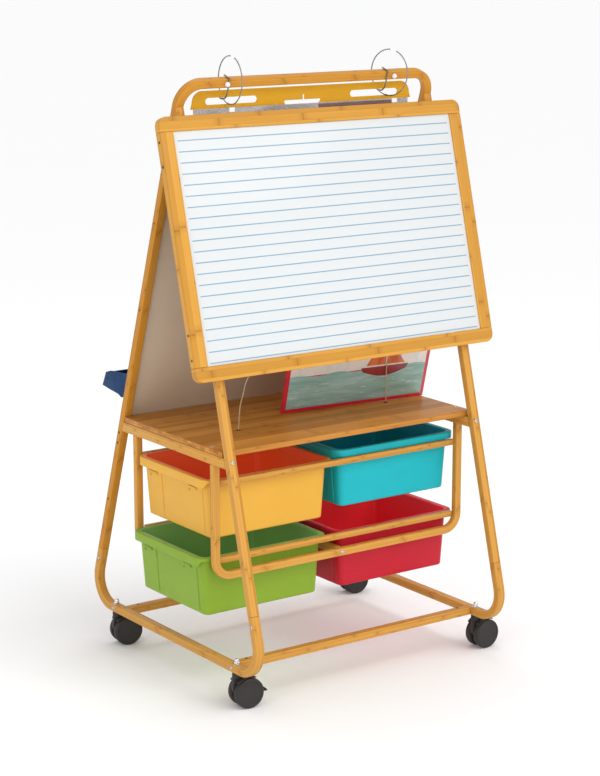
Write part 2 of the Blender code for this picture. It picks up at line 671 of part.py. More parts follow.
def rings_and_hooks():
    """Open binder rings round the loop and through the slots, and wire hooks over the loop."""
    for word, x, turn in (("left", -0.2315, -4), ("right", 0.238, 14)):
        spin = Matrix.Rotation(math.radians(turn), 3, "Z")
        path = []
        for y, z in arc((0, 0), RING_RADIUS, 114, 450, 36):
            path.append(spin @ Vector((0, y, z)))
        wire(f"ring_{word}", path, RING_WIRE, 8, STEEL, (x, *RING_CENTRE))
    profile = [(-0.0608, 1.4665), (-0.0770, 1.4613), (-0.0827, 1.4590), (-0.0810, 1.4531), (-0.0755, 1.4360)]
    profile += [(-0.0720, 1.4260), (-0.0660, 1.4170), (-0.0570, 1.4115), (-0.0450, 1.4110), (-0.0385, 1.4135)]
    profile += [(-0.0362, 1.4195)]
    for word, x in (("left", -0.243), ("right", 0.222)):
        wire(f"hook_{word}", smooth_curve([(x, y, z) for y, z in profile], 2), HOOK_WIRE, 8, STEEL)


LEFT_CORD = [
    (-0.226, -0.084, SHELF_TOP + GAP), (-0.2215, -0.0845, 0.671), (-0.217, -0.091, 0.704),
    (-0.217, -0.109, 0.744), (-0.217, -0.150, 0.783), (-0.217, -0.2155, 0.800),
]
RIGHT_CORD = [
    (0.251, -0.048, SHELF_TOP + GAP), (0.2475, -0.0535, 0.672), (0.243, -0.0635, 0.728),
    (0.237, -0.100, 0.770), (0.232, -0.155, 0.793), (0.230, -0.2155, 0.800),
]


def cords():
    """Elastic page holders, stretched from the shelf to the back of the whiteboard's low rail."""
    for name, knots in (("elastic_cord_left", LEFT_CORD), ("elastic_cord_right", RIGHT_CORD)):
        curve = bpy.data.curves.new(name, "CURVE")
        curve.dimensions = "3D"
        curve.bevel_depth = CORD_RADIUS
        curve.bevel_resolution = 2
        curve.use_fill_caps = True
        line = curve.splines.new("POLY")
        path = smooth_curve(knots, 3)
        line.points.add(len(path) - 1)
        for point, place in zip(line.points, path):
            point.co = (*place, 1)
        curve.materials.append(material(f"{name}_finish", CORD))
        place_object(name, curve)


def display_book():
    """A stiff picture book that stands on the shelf, its top tilted forward behind the right cord."""
    wide = Matrix.Rotation(BOOK_TURN, 3, "Z") @ Vector((1, 0, 0))
    face = Matrix.Rotation(BOOK_TURN, 3, "Z") @ Vector((0, -1, -BOOK_LEAN)).normalized()
    rise = wide.cross(face) * -1
    lift = BOOK_THICK / 2 * abs(face.z) + GAP
    foot = Vector((*BOOK_FOOT, SHELF_TOP + lift))

    def place(a, b, d):
        return foot + wide * a + rise * b + face * d

    half = BOOK_WIDE / 2
    outline = [(-half, 0), (half, 0), (half, BOOK_TALL), (-half, BOOK_TALL)]
    prism("display_book", outline, place, -BOOK_THICK / 2, BOOK_THICK / 2, BOOK)


def main():
    for old in list(bpy.data.objects):
        bpy.data.objects.remove(old, do_unlink=True)
    easel = bpy.data.objects.new(EASEL, None)
    easel.location = (0, EASEL_SHIFT, 0)
    bpy.context.scene.collection.objects.link(easel)
    frames()
    whiteboard()
    rear_board()
    marker_tray()
    shelf()
    tub_frames()
    tubs()
    for word, values in CASTERS.items():
        caster(word, *values)
    hanger()
    rings_and_hooks()
    cords()
    display_book()


main()
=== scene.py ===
import itertools
from math import atan, copysign, cos, hypot, pi, radians, sin, tan, tau

import bmesh
import bpy
from mathutils import Matrix, Vector


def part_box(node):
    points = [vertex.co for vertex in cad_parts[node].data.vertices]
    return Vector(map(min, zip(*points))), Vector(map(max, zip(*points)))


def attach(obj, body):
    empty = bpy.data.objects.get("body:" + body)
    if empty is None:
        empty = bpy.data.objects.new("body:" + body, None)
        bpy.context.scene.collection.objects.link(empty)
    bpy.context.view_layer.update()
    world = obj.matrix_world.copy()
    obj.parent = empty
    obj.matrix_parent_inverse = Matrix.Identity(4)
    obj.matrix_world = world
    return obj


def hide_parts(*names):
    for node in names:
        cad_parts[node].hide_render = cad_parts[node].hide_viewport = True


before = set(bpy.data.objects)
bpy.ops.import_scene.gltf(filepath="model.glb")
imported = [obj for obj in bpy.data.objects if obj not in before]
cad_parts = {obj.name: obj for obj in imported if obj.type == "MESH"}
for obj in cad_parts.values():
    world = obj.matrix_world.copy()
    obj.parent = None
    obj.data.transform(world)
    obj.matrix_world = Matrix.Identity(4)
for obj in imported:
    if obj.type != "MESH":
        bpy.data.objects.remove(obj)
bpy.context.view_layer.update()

# ---- driving dimensions (metres)

FRONT_FOOT_Y, FRONT_SLOPE = -0.421, 0.2629
REAR_FOOT_Y, REAR_SLOPE = 0.434, 0.3337
LEG_WIDE, LEG_THICK = 0.022, 0.02
HALF = 0.377
LEG_X = HALF - LEG_WIDE / 2
INNER_X = HALF - LEG_WIDE
LOOP_TOP, LOOP_RADIUS = 1.464, 0.065
BASE_MID = 0.098
BEND_RADIUS = 0.075
LEG_SEAM_Z = 0.248
SEAM_Y = {"front": -0.2425, "rear": 0.2605}
STEM_Y = {"front": -0.2745, "rear": 0.28}
CROSSBAR_Y = {"front": -0.2555, "rear": 0.2425}
TUBE_Y = {"front": -0.189, "rear": 0.1595}
BOARD_LOW, BOARD_HIGH = 0.7813, 1.3758
BOARD_HALF, BOARD_RAIL, BOARD_THICK, BOARD_CORNER = 0.44225, 0.035, 0.022, 0.021
SHEET_BACK, SHEET_THICK = 0.013, 0.005
PANEL_LOW, PANEL_HIGH, PANEL_THICK = 0.598, 1.33, 0.006
SHELF_TOP, SHELF_REAR, SHELF_TONGUE = 0.616, 0.2065, 0.2144
TRAY_Z, TRAY_HALF = 0.665, 0.372
WHEEL_RADIUS, TRAIL = 0.0375, 0.024
HANG_X, HANG_Y = -0.004, -0.0385
GAP = 0.0003

FRONT_TILT, REAR_TILT = atan(FRONT_SLOPE), atan(REAR_SLOPE)
FRONT_UP = Vector((0, sin(FRONT_TILT), cos(FRONT_TILT)))
FRONT_OUT = Vector((0, -cos(FRONT_TILT), sin(FRONT_TILT)))
REAR_UP = Vector((0, -sin(REAR_TILT), cos(REAR_TILT)))
REAR_OUT = Vector((0, cos(REAR_TILT), sin(REAR_TILT)))
ACROSS = Vector((1, 0, 0))


def front_face(x, z, out=0.0):
    return Vector((x, FRONT_FOOT_Y + FRONT_SLOPE * z, z)) + FRONT_OUT * out


def rear_face(x, z, out=0.0):
    return Vector((x, REAR_FOOT_Y - REAR_SLOPE * z, z)) + REAR_OUT * out


def axes(x, y, z, origin=(0, 0, 0)):
    """The matrix that takes local coordinates to the axes x, y and z at an origin."""
    turned = Matrix((Vector(x), Vector(y), Vector(z))).transposed().to_4x4()
    return Matrix.Translation(origin) @ turned


FLAT = axes(ACROSS, (0, 1, 0), (0, 0, 1))
SIDEWAYS = axes((0, 1, 0), (0, 0, 1), ACROSS)


# ---- materials


class Look:
    """A Principled material built up node by node."""

    def __init__(self, name, sockets):
        self.material = bpy.data.materials.new(name)
        self.material.use_nodes = True
        self.tree = self.material.node_tree
        self.shader = self.tree.nodes["Principled BSDF"]
        for socket, value in sockets.items():
            self.shader.inputs[socket].default_value = value

    def add(self, kind, values, **settings):
        node = self.tree.nodes.new("ShaderNode" + kind)
        for key, value in settings.items():
            setattr(node, key, value)
        for socket, value in values.items():
            if isinstance(value, bpy.types.NodeSocket):
                self.tree.links.new(value, node.inputs[socket])
            else:
                node.inputs[socket].default_value = value
        return node

    def drive(self, socket, value):
        self.tree.links.new(value, self.shader.inputs[socket])

    def math(self, operation, *values):
        return self.add("Math", dict(enumerate(values)), operation=operation).outputs[0]

    def times(self, first, second):
        return self.math("MULTIPLY", first, second)

    def noise(self, vector, factors, detail=3.0, roughness=0.55):
        """Noise with so many cycles per metre: one number, or one for each axis."""
        if isinstance(factors, float):
            factors = (factors, factors, factors)
        place = self.add("VectorMath", {0: vector, 1: factors}, operation="MULTIPLY").outputs[0]
        values = {"Vector": place, "Scale": 1.0, "Detail": detail, "Roughness": roughness}
        return self.add("TexNoise", values).outputs["Fac"]

    def from_middle(self, value):
        """How far the fraction of a value is from a half."""
        return self.math("ABSOLUTE", self.math("SUBTRACT", self.math("FRACT", value), 0.5))

    def ramp(self, value, low, high, start=0.0, end=1.0):
        """value brought from low..high to start..end, eased and clamped."""
        values = {0: value, 1: low, 2: high, 3: start, 4: end}
        return self.add("MapRange", values, interpolation_type="SMOOTHSTEP").outputs[0]

    def mix(self, factor, first, second):
        """Two colours blended, each a socket or an (r, g, b)."""
        pair = [c if isinstance(c, bpy.types.NodeSocket) else (*c, 1.0) for c in (first, second)]
        values = {0: factor, 6: pair[0], 7: pair[1]}
        return self.add("Mix", values, data_type="RGBA").outputs[2]

    def done(self, shade, height, strength, distance, roughness=None):
        """The material, with its colour, bump and any roughness wired up."""
        self.drive("Base Color", shade)
        if roughness:
            self.drive("Roughness", roughness)
        values = {"Height": height, "Strength": strength, "Distance": distance}
        self.drive("Normal", self.add("Bump", values).outputs[0])
        return self.material

    def attribute(self, name, output="Vector"):
        return self.add("Attribute", {}, attribute_name=name).outputs[output]

    def place(self):
        return self.add("TexCoord", {}).outputs["Object"]


def bamboo(name, strip, ply, period, light, dark):
    """Laminated bamboo: plies and strips in their own tones, fibres and dark knuckles."""
    look = Look(name, {"Coat Weight": 0.04, "Coat Roughness": 0.25, "Specular IOR Level": 0.14})
    grain = look.attribute("grain")
    along, depth, width = look.add("SeparateXYZ", {0: grain}).outputs[:3]
    ply_at = look.math("ADD", look.math("DIVIDE", depth, ply), 0.5)
    strip_at = look.math("ADD", look.math("DIVIDE", width, strip), 0.5)
    cell = {0: look.math("FLOOR", ply_at), 1: look.math("FLOOR", strip_at)}
    cell = look.add("CombineXYZ", cell).outputs[0]
    tone = look.add("TexWhiteNoise", {"Vector": cell}, noise_dimensions="3D").outputs["Value"]
    fibre = look.noise(grain, (9.0, 1100.0, 1100.0), 2.0, 0.6)
    streak = look.noise(grain, (3.0, 230.0, 230.0), 2.0)
    cloud = look.noise(grain, (4.0, 25.0, 25.0), 2.0)

    turn = look.math("ADD", look.math("DIVIDE", along, period), look.times(tone, 9.7))
    away = look.times(look.from_middle(turn), period)
    away = look.math("ADD", away, look.times(streak, 0.004))
    node_line = look.ramp(away, 0.0012, 0.0055, 1.0, 0.0)
    node_halo = look.ramp(away, 0.002, 0.022, 1.0, 0.0)

    body = look.math("MULTIPLY_ADD", tone, 0.42, look.times(fibre, 0.3))
    body = look.math("MULTIPLY_ADD", cloud, 0.35, body)
    body = look.math("MULTIPLY_ADD", streak, 0.3, body)
    shade = look.mix(look.ramp(body, 0.38, 0.98), light, dark)
    shade = look.mix(look.times(node_halo, 0.22), shade, KNUCKLE)
    shade = look.mix(look.times(node_line, 0.55), shade, KNUCKLE)
    seam = look.ramp(look.from_middle(ply_at), 0.5 - GLUE_WIDE / ply, 0.5 - GLUE_CORE / ply)
    joint = look.ramp(look.from_middle(strip_at), 0.5 - GLUE_WIDE / strip, 0.5 - GLUE_CORE / strip)
    glue = look.math("MAXIMUM", seam, joint)
    shade = look.mix(look.times(glue, 0.45), shade, [c * 0.45 for c in KNUCKLE])
    # painted highlight: rounded edges and eased ends are lightened in patches, where a highlight would catch
    # them
    painted_edge_highlight = look.times(look.attribute("edge", "Fac"), look.ramp(cloud, 0.35, 0.7))
    shade = look.mix(look.times(painted_edge_highlight, 0.35), shade, [min(c * 1.25, 1) for c in light])
    height = look.math("MULTIPLY_ADD", node_line, 0.5, look.times(fibre, 0.5))
    height = look.math("SUBTRACT", height, glue)
    return look.done(shade, height, 0.35, 0.0003, look.ramp(fibre, 0.2, 0.9, 0.3, 0.5))


def moulded(name, base, deep, roughness=0.36, grainy=900.0, strength=0.12, extra=None, inside=None):
    """Moulded plastic. inside is a tub's painted inner colour, which stands in for light bouncing inside it,
    and the strength of a painted glow on its inner walls, which stands in for light that comes through the
    wall.
    """
    look = Look(name, {"Specular IOR Level": 0.28, **(extra or {})})
    place = look.place()
    flow = look.noise(place, (9.0, 9.0, 22.0), 2.0)
    fine = look.noise(place, grainy, 1.0)
    dust = look.noise(place, 45.0, 4.0, 0.7)
    shade = look.mix(look.ramp(flow, 0.3, 0.75, 0.0, 0.5), base, deep)
    # painted light: the inner rings get a painted inside colour for light bouncing in the tub, and a faint
    # emission glow whose strength is through
    if inside:
        inner, through = inside
        inner_glow_mask = look.attribute("edge", "Fac")
        shade = look.mix(inner_glow_mask, shade, inner)
        look.shader.inputs["Emission Color"].default_value = (*inner, 1.0)
        look.drive("Emission Strength", look.times(inner_glow_mask, through))
    rough = look.ramp(dust, 0.35, 0.75, roughness, roughness + 0.14)
    return look.done(shade, fine, strength, 0.0002, rough)


def metal(name, base, roughness):
    """Plated or blackened metal with a faint smear of fingerprints."""
    look = Look(name, {"Metallic": 1.0})
    place = look.place()
    smear = look.noise(place, 120.0, 4.0)
    shade = look.mix(look.ramp(smear, 0.3, 0.8), base, [c * 0.8 for c in base])
    rough = look.ramp(smear, 0.3, 0.8, roughness, roughness + 0.12)
    return look.done(shade, look.noise(place, 1500.0, 1.0), 0.05, 0.0001, rough)


def ruled_white():
    """White enamel with pale blue writing lines and faint marker haze."""
    look = Look("ruled_enamel", {"Coat Weight": 0.05, "Coat Roughness": 0.15, "Specular IOR Level": 0.2})
    board = look.attribute("grain")
    across, _, rise = look.add("SeparateXYZ", {0: board}).outputs[:3]
    first, pitch, lines, line_half = 0.0416, 0.02579, 21, 0.398
    step = look.math("DIVIDE", look.math("SUBTRACT", rise, first), pitch)
    line = look.ramp(look.from_middle(look.math("ADD", step, 0.5)), 0.042, 0.066, 1.0, 0.0)
    above, below = look.math("GREATER_THAN", step, -0.5), look.math("LESS_THAN", step, lines - 0.5)
    between = look.math("LESS_THAN", look.math("ABSOLUTE", across), line_half)
    inside = look.times(look.times(above, below), between)
    haze = look.noise(board, (14.0, 14.0, 30.0), 5.0, 0.6)
    white = look.mix(look.ramp(haze, 0.45, 0.8, 0.0, 0.5), (0.685, 0.705, 0.71), (0.68, 0.7, 0.72))
    blue = look.mix(look.ramp(haze, 0.3, 0.7), (0.22, 0.38, 0.5), (0.26, 0.42, 0.54))
    shade = look.mix(look.times(line, inside), white, blue)
    rough = look.ramp(haze, 0.35, 0.75, 0.12, 0.26)
    return look.done(shade, look.noise(board, 60.0, 2.0), 0.03, 0.0004, rough)


def grey_writing_board():
    """Matt board with a fine speckle and soft clouds."""
    look = Look("grey_board", {"Roughness": 0.6})
    place = look.place()
    speck = look.noise(place, 1400.0, 2.0, 0.7)
    cloud = look.noise(place, 5.0, 4.0, 0.6)
    tone = look.math("MULTIPLY_ADD", speck, 0.35, look.times(cloud, 0.65))
    shade = look.mix(look.ramp(tone, 0.3, 0.7), (0.59, 0.485, 0.36), (0.52, 0.42, 0.305))
    return look.done(shade, speck, 0.12, 0.0002, look.ramp(speck, 0.3, 0.7, 0.5, 0.7))


def woven_elastic():
    """Braided cover: two families of strands that cross along the cord."""
    look = Look("woven_elastic", {"Roughness": 0.8, "Sheen Weight": 0.35})
    along, turned, _ = look.add("SeparateXYZ", {0: look.attribute("grain")}).outputs[:3]
    wind = look.times(along, 2600.0)
    turn = look.times(turned, 4.0)
    left = look.math("SINE", look.math("ADD", wind, turn))
    right = look.math("SINE", look.math("SUBTRACT", wind, turn))
    weave = look.math("MAXIMUM", left, right)
    shade = look.mix(look.ramp(weave, -0.2, 0.9), (0.26, 0.15, 0.06), (0.66, 0.48, 0.25))
    return look.done(shade, weave, 0.7, 0.0003)


def smoky_film():
    """Clear film gone slightly grey, with soft creases."""
    look = Look("smoky_film", {"Roughness": 0.14, "Transmission Weight": 0.0, "IOR": 1.46})
    crease = look.noise(look.place(), (7.0, 7.0, 16.0), 5.0, 0.65)
    look.drive("Alpha", look.ramp(crease, 0.25, 0.8, 0.22, 0.42))
    shade = look.mix(look.ramp(crease, 0.3, 0.7), (0.4, 0.34, 0.32), (0.3, 0.25, 0.24))
    return look.done(shade, crease, 0.5, 0.004)


def printed(name, base, deep, roughness=0.35):
    """Printed and coated board: flat ink with paper fibre under it."""
    look = Look(name, {"Coat Weight": 0.25, "Coat Roughness": 0.2})
    place = look.place()
    ink = look.noise(place, (60.0, 60.0, 25.0), 4.0, 0.6)
    fibre = look.noise(place, 900.0, 2.0)
    rough = look.ramp(ink, 0.3, 0.7, roughness, roughness + 0.12)
    return look.done(look.mix(look.ramp(ink, 0.35, 0.7), base, deep), fibre, 0.08, 0.0002, rough)


def painted_sea():
    """A calm sea in rows of soft brush strokes."""
    look = Look("printed_sea", {"Coat Weight": 0.25, "Coat Roughness": 0.2, "Roughness": 0.4})
    place = look.place()
    swell = look.noise(place, (7.0, 20.0, 60.0), 4.0, 0.65)
    foam = look.noise(place, (30.0, 60.0, 190.0), 3.0, 0.6)
    deep = look.mix(look.ramp(swell, 0.3, 0.7), (0.2, 0.36, 0.32), (0.34, 0.52, 0.47))
    shade = look.mix(look.ramp(foam, 0.56, 0.72, 0.0, 0.6), deep, (0.66, 0.76, 0.7))
    return look.done(shade, swell, 0.05, 0.0004)


GLUE_WIDE, GLUE_CORE = 0.0003, 0.0001
KNUCKLE = (0.27, 0.09, 0.015)
BAMBOO = bamboo("bamboo_bent", 0.0075, 0.005, 0.21, (0.68, 0.345, 0.07), (0.5, 0.222, 0.035))
BAMBOO_RAIL = bamboo("bamboo_rail", 0.0175, 0.011, 0.24, (0.7, 0.35, 0.06), (0.55, 0.258, 0.038))
BAMBOO_LOOP = bamboo("bamboo_loop", 0.0075, 0.005, 0.21, (0.62, 0.28, 0.034), (0.47, 0.19, 0.018))
BAMBOO_SHELF = bamboo("bamboo_shelf", 0.019, 0.006, 0.26, (0.66, 0.288, 0.052), (0.4, 0.155, 0.024))
WHITE = ruled_white()
GREY = grey_writing_board()
ELASTIC = woven_elastic()
FILM = smoky_film()
SEA = painted_sea()
CHROME = metal("bright_plate", (0.8, 0.81, 0.83), 0.14)
BOLT_STEEL = metal("bolt_plate", (0.62, 0.62, 0.63), 0.22)
RING_STEEL = metal("ring_plate", (0.32, 0.31, 0.28), 0.24)
BRONZED = metal("bronzed_wire", (0.3, 0.24, 0.17), 0.34)
BLACKENED = metal("dark_screw", (0.1, 0.085, 0.075), 0.42)
SOFT = {"Subsurface Weight": 0.12, "Subsurface Radius": (0.01, 0.006, 0.003), "Subsurface Scale": 0.6}
TUB_COLOURS = {  # outside, its deeper tone, the painted inside colour, and the strength of the painted inner glow that stands in for light coming through the wall
    "yellow": ((0.77, 0.415, 0.048), (0.73, 0.38, 0.038), (0.88, 0.13, 0.03), 0.09),
    "green": ((0.24, 0.385, 0.024), (0.205, 0.345, 0.018), (0.2, 0.4, 0.1), 0.09),
    "teal": ((0.004, 0.455, 0.515), (0.003, 0.4, 0.46), (0.004, 0.4, 0.56), 0.02),
    "red": ((0.56, 0.009, 0.026), (0.49, 0.006, 0.02), (0.84, 0.026, 0.036), 0.11),
}
PLASTIC = {}
for hue, (outer, deeper, *inner) in TUB_COLOURS.items():
    PLASTIC[hue] = moulded(f"{hue}_tub", outer, deeper, extra=SOFT, inside=inner)
DULL = {"Specular IOR Level": 0.2}
BLUE = moulded("blue_tray", (0.005, 0.04, 0.13), (0.004, 0.03, 0.105), 0.5, extra=DULL)
HANGER_YELLOW = moulded("yellow_hanger", (0.72, 0.39, 0.008), (0.64, 0.33, 0.005), 0.3, extra=SOFT)
NYLON = moulded("black_nylon", (0.03, 0.027, 0.025), (0.02, 0.018, 0.017), 0.38, 700.0, 0.2)
TREAD = moulded("black_tread", (0.034, 0.03, 0.028), (0.022, 0.02, 0.019), 0.5, 500.0, 0.3)
WHITE_BALL = moulded("white_ball", (0.86, 0.85, 0.82), (0.8, 0.78, 0.75), 0.2)
MAROON = printed("maroon_print", (0.3, 0.03, 0.035), (0.22, 0.02, 0.025))
CREAM = printed("cream_print", (0.8, 0.74, 0.62), (0.7, 0.63, 0.51))
BOOK_RED = printed("red_print", (0.66, 0.02, 0.045), (0.55, 0.015, 0.03))
SKY = printed("sky_print", (0.82, 0.79, 0.73), (0.72, 0.72, 0.68))
SAIL = printed("sail_print", (0.72, 0.2, 0.06), (0.55, 0.1, 0.03))

# ---- mesh helpers

SEED_STEP = 1.618
seeds = itertools.count(1)


def next_seed():
    """A different stretch of grain for each piece."""
    return next(seeds) * SEED_STEP


def link(name, data, at=(0, 0, 0), aim=None):
    """A new object in the scene; aim is the way its -Z points."""
    made = bpy.data.objects.new(name, data)
    made.location = at
    if aim:
        made.rotation_euler = Vector(aim).to_track_quat("-Z", "Y").to_euler()
    bpy.context.scene.collection.objects.link(made)
    return made


def piece(name, work, look, body, nodes=(), sharp=32):
    """A finished object that rides on a body and stands for some CAD nodes."""
    bmesh.ops.recalc_face_normals(work, faces=work.faces)
    mesh = bpy.data.meshes.new(name)
    work.to_mesh(mesh)
    work.free()
    mesh.materials.append(look)
    mesh.shade_smooth()
    mesh.set_sharp_from_angle(angle=radians(sharp))
    made = link(name, mesh)
    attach(made, body)
    if nodes:
        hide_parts(*nodes)


def layers(work):
    """The attributes: grain for patterns, and edge for the painted highlight on rounded edges or the painted
    inside colour and glow of a tub.
    """
    vectors, floats = work.verts.layers.float_vector, work.verts.layers.float
    return vectors.get("grain") or vectors.new("grain"), floats.get("edge") or floats.new("edge")


def gather(works):
    """Several closed meshes as one."""
    whole = bmesh.new()
    layers(whole)
    for work in works:
        mesh = bpy.data.meshes.new("part")
        work.to_mesh(mesh)
        work.free()
        whole.from_mesh(mesh)
        bpy.data.meshes.remove(mesh)
    return whole


def rectangle(left, low, right, high):
    return [(left, low), (right, low), (right, high), (left, high)]


def arc(centre, radius, start, end, steps):
    """Points on a circle from one angle to another, in degrees."""
    angles = [radians(start + (end - start) * i / steps) for i in range(steps + 1)]
    return [(centre[0] + radius * cos(t), centre[1] + radius * sin(t)) for t in angles]


def rounded_path(corners, radius, steps=14):
    """The corners as a line, its inner corners rounded to a radius."""
    corners = [Vector(c) for c in corners]
    path = [corners[0]]
    for before, corner, after in zip(corners, corners[1:], corners[2:]):
        towards = (before - corner).normalized()
        away = (after - corner).normalized()
        half = towards.angle(away) / 2
        reach = radius / tan(half)
        centre = corner + (towards + away).normalized() * radius / sin(half)
        first = corner + towards * reach - centre
        axis = first.cross(corner + away * reach - centre).normalized()
        for i in range(steps + 1):
            path.append(centre + Matrix.Rotation((pi - 2 * half) * i / steps, 3, axis) @ first)
    return path + [corners[-1]]


def bar_section(wide, deep, radius=0.0028, steps=4):
    """A rectangle with round corners as (in-plane, across, edge) points; edge is 1 on a corner's crown."""
    points = []
    for sx, sy, start in ((1, 1, 0), (-1, 1, 90), (-1, -1, 180), (1, -1, 270)):
        centre = (sx * (wide / 2 - radius), sy * (deep / 2 - radius))
        for i, (a, b) in enumerate(arc(centre, radius, start, start + 90, steps)):
            points.append((a, b, 1.0 if 0 < i < steps else 0.0))
    return points


def sweep(path, section, across, end_cut=None, ease=0.0009):
    """A bar along a flat path, its grain following the bends, its ends eased or cut."""
    across = Vector(across).normalized()
    path = [Vector(p) for p in path]
    first = (path[1] - path[0]).normalized()
    last = (path[-1] - path[-2]).normalized()
    if end_cut is None:
        path = [path[0], path[0] + first * ease] + path[1:-1] + [path[-1] - last * ease, path[-1]]
    work = bmesh.new()
    grain, edge = layers(work)
    seed, travelled = next_seed(), 0.0
    loops = []
    for i, here in enumerate(path):
        back = (here - path[i - 1]).normalized() if i else None
        ahead = (path[i + 1] - here).normalized() if i + 1 < len(path) else None
        along = ((back or ahead) + (ahead or back)).normalized()
        stretch = 1 / along.dot(ahead or back)
        side = across.cross(along)
        if i:
            travelled += (here - path[i - 1]).length
        inset = ease if end_cut is None and i in (0, len(path) - 1) else 0.0
        ring = []
        for a, b, crown in section:
            a_in, b_in = a - copysign(inset, a), b - copysign(inset, b)
            vert = work.verts.new(here + side * a_in * stretch + across * b_in)
            if end_cut and i == len(path) - 1:
                at, normal = end_cut
                vert.co = vert.co + along * ((at - vert.co).dot(normal) / along.dot(normal))
            vert[grain] = Vector((travelled + seed, a, b))
            vert[edge] = max(crown, 1.0 if inset else 0.0)
            ring.append(vert)
        loops.append(ring)
    close(work, loops)
    return work


def close(work, loops):
    """Skins loops of verts and caps both ends."""
    work.faces.new(loops[0])
    work.faces.new(loops[-1])
    for ring, beyond in zip(loops, loops[1:]):
        for i in range(len(ring)):
            j = (i + 1) % len(ring)
            work.faces.new((ring[i], ring[j], beyond[j], beyond[i]))


def slab(outline, low, high, place, bevel=0.0008, along=0, segments=2):
    """An outline extruded between two depths, edges rounded, with grain along local x (0) or y (1)."""
    work = bmesh.new()
    grain, edge = layers(work)
    face = work.faces.new([work.verts.new((a, b, low)) for a, b in outline])
    grown = bmesh.ops.extrude_face_region(work, geom=[face])["geom"]
    moved = [v for v in grown if isinstance(v, bmesh.types.BMVert)]
    bmesh.ops.translate(work, vec=(0, 0, high - low), verts=moved)
    bmesh.ops.recalc_face_normals(work, faces=work.faces)
    if bevel:
        hard = [e for e in work.edges if e.calc_face_angle(0) > radians(28)]
        settings = {"offset": bevel, "segments": segments, "profile": 0.5, "clamp_overlap": True}
        bmesh.ops.bevel(work, geom=hard, affect="EDGES", **settings)
    seed = next_seed()
    for vert in work.verts:
        vert[grain] = Vector((vert.co[along] + seed, vert.co[2], vert.co[1 - along]))
    bmesh.ops.transform(work, matrix=place, verts=work.verts)
    return work


def lathe(profile, place, sides=32):
    """Spins (radius, height) points about local Z, from the axis back to the axis."""
    work = bmesh.new()
    layers(work)
    line = [work.verts.new((r, 0, h)) for r, h in profile]
    edges = [work.edges.new(pair) for pair in zip(line, line[1:])]
    bmesh.ops.spin(work, geom=line + edges, axis=(0, 0, 1), cent=(0, 0, 0), angle=tau, steps=sides)
    bmesh.ops.remove_doubles(work, verts=work.verts, dist=1e-6)
    bmesh.ops.transform(work, matrix=place, verts=work.verts)
    return work


def wire(knots, radius, sides=12):
    """A round wire through points; its grain holds length and turn."""
    work = bmesh.new()
    grain, _ = layers(work)
    loops, up, travelled = [], None, 0.0
    knots = [Vector(k) for k in knots]
    for i, here in enumerate(knots):
        along = (knots[min(i + 1, len(knots) - 1)] - knots[max(i - 1, 0)]).normalized()
        up = (up - along * up.dot(along)).normalized() if up else along.orthogonal().normalized()
        side = along.cross(up)
        if i:
            travelled += (here - knots[i - 1]).length
        ring = []
        for k in range(sides):
            t = tau * k / sides
            vert = work.verts.new(here + (up * cos(t) + side * sin(t)) * radius)
            vert[grain] = Vector((travelled, t if k * 2 <= sides else tau - t, 0))
            ring.append(vert)
        loops.append(ring)
    close(work, loops)
    return work


def smooth_curve(knots, steps=6):
    """A Catmull-Rom line through the knots."""
    knots = [Vector(k) for k in knots]
    ends = [2 * knots[0] - knots[1]] + knots + [2 * knots[-1] - knots[-2]]
    path = [knots[0]]
    for a, b, c, d in zip(ends, ends[1:], ends[2:], ends[3:]):
        for i in range(1, steps + 1):
            t = i / steps
            bend, twist = 2 * a - 5 * b + 4 * c - d, 3 * b - a - 3 * c + d
            path.append(0.5 * (2 * b + (c - a) * t + bend * t**2 + twist * t**3))
    return path


def facing(point, normal):
    """A place whose local Z is the normal."""
    normal = Vector(normal).normalized()
    x = normal.orthogonal().normalized()
    return axes(x, normal.cross(x), normal, point)


# ---- camera, light and floor


def studio():
    """The camera, an even white world, one soft sun, three round lamps and a pale floor."""
    data = bpy.data.cameras.new("camera")
    data.sensor_fit = "HORIZONTAL"
    data.sensor_width = 36.0
    data.lens = 125.4
    data.clip_end = 300.0
    camera = link("camera", data, (-2.9459, -4.167, 1.8012))
    camera.rotation_euler = (radians(90 - 12.408), 0, radians(-35.363))
    bpy.context.scene.camera = camera

    world = bpy.data.worlds.new("studio")
    world.use_nodes = True
    background = world.node_tree.nodes["Background"].inputs
    background["Color"].default_value = (1.0, 1.0, 1.0, 1.0)
    background["Strength"].default_value = 0.77
    bpy.context.scene.world = world
    bpy.context.scene.view_settings.view_transform = "Standard"

    softbox = bpy.data.lights.new("softbox", "SUN")
    softbox.energy = 0.95
    softbox.angle = radians(45)
    link("softbox", softbox, aim=(-0.288, 0.618, -0.731))
    for name, at, size, watts in (
        ("fill", (-1.0, -4.5, 1.4), 3.0, 32.0),
        ("side", (-4.0, -1.4, 1.8), 1.5, 20.0),
        ("top", (0.6, 1.2, 4.2), 2.0, 20.0),
    ):
        lamp = bpy.data.lights.new(name, "AREA")
        lamp.shape = "DISK"
        lamp.size = size
        lamp.energy = watts
        link(name, lamp, at, Vector((0.0, 0.0, 0.6)) - Vector(at))

    ground = bmesh.new()
    bmesh.ops.create_grid(ground, x_segments=1, y_segments=1, size=90)
    mesh = bpy.data.meshes.new("floor")
    ground.to_mesh(mesh)
    ground.free()
    look = Look("floor_paint", {"Roughness": 0.9, "Specular IOR Level": 0.1})
    soft = look.noise(look.place(), 0.8, 2.0)
    look.drive("Base Color", look.mix(soft, (0.975, 0.978, 0.985), (0.985, 0.985, 0.99)))
    mesh.materials.append(look.material)
    floor = link("floor", mesh)


# ---- bamboo frame


def wood(node, work, look=BAMBOO, body="frame"):
    return piece(f"{node}_wood", work, look, body, [node])


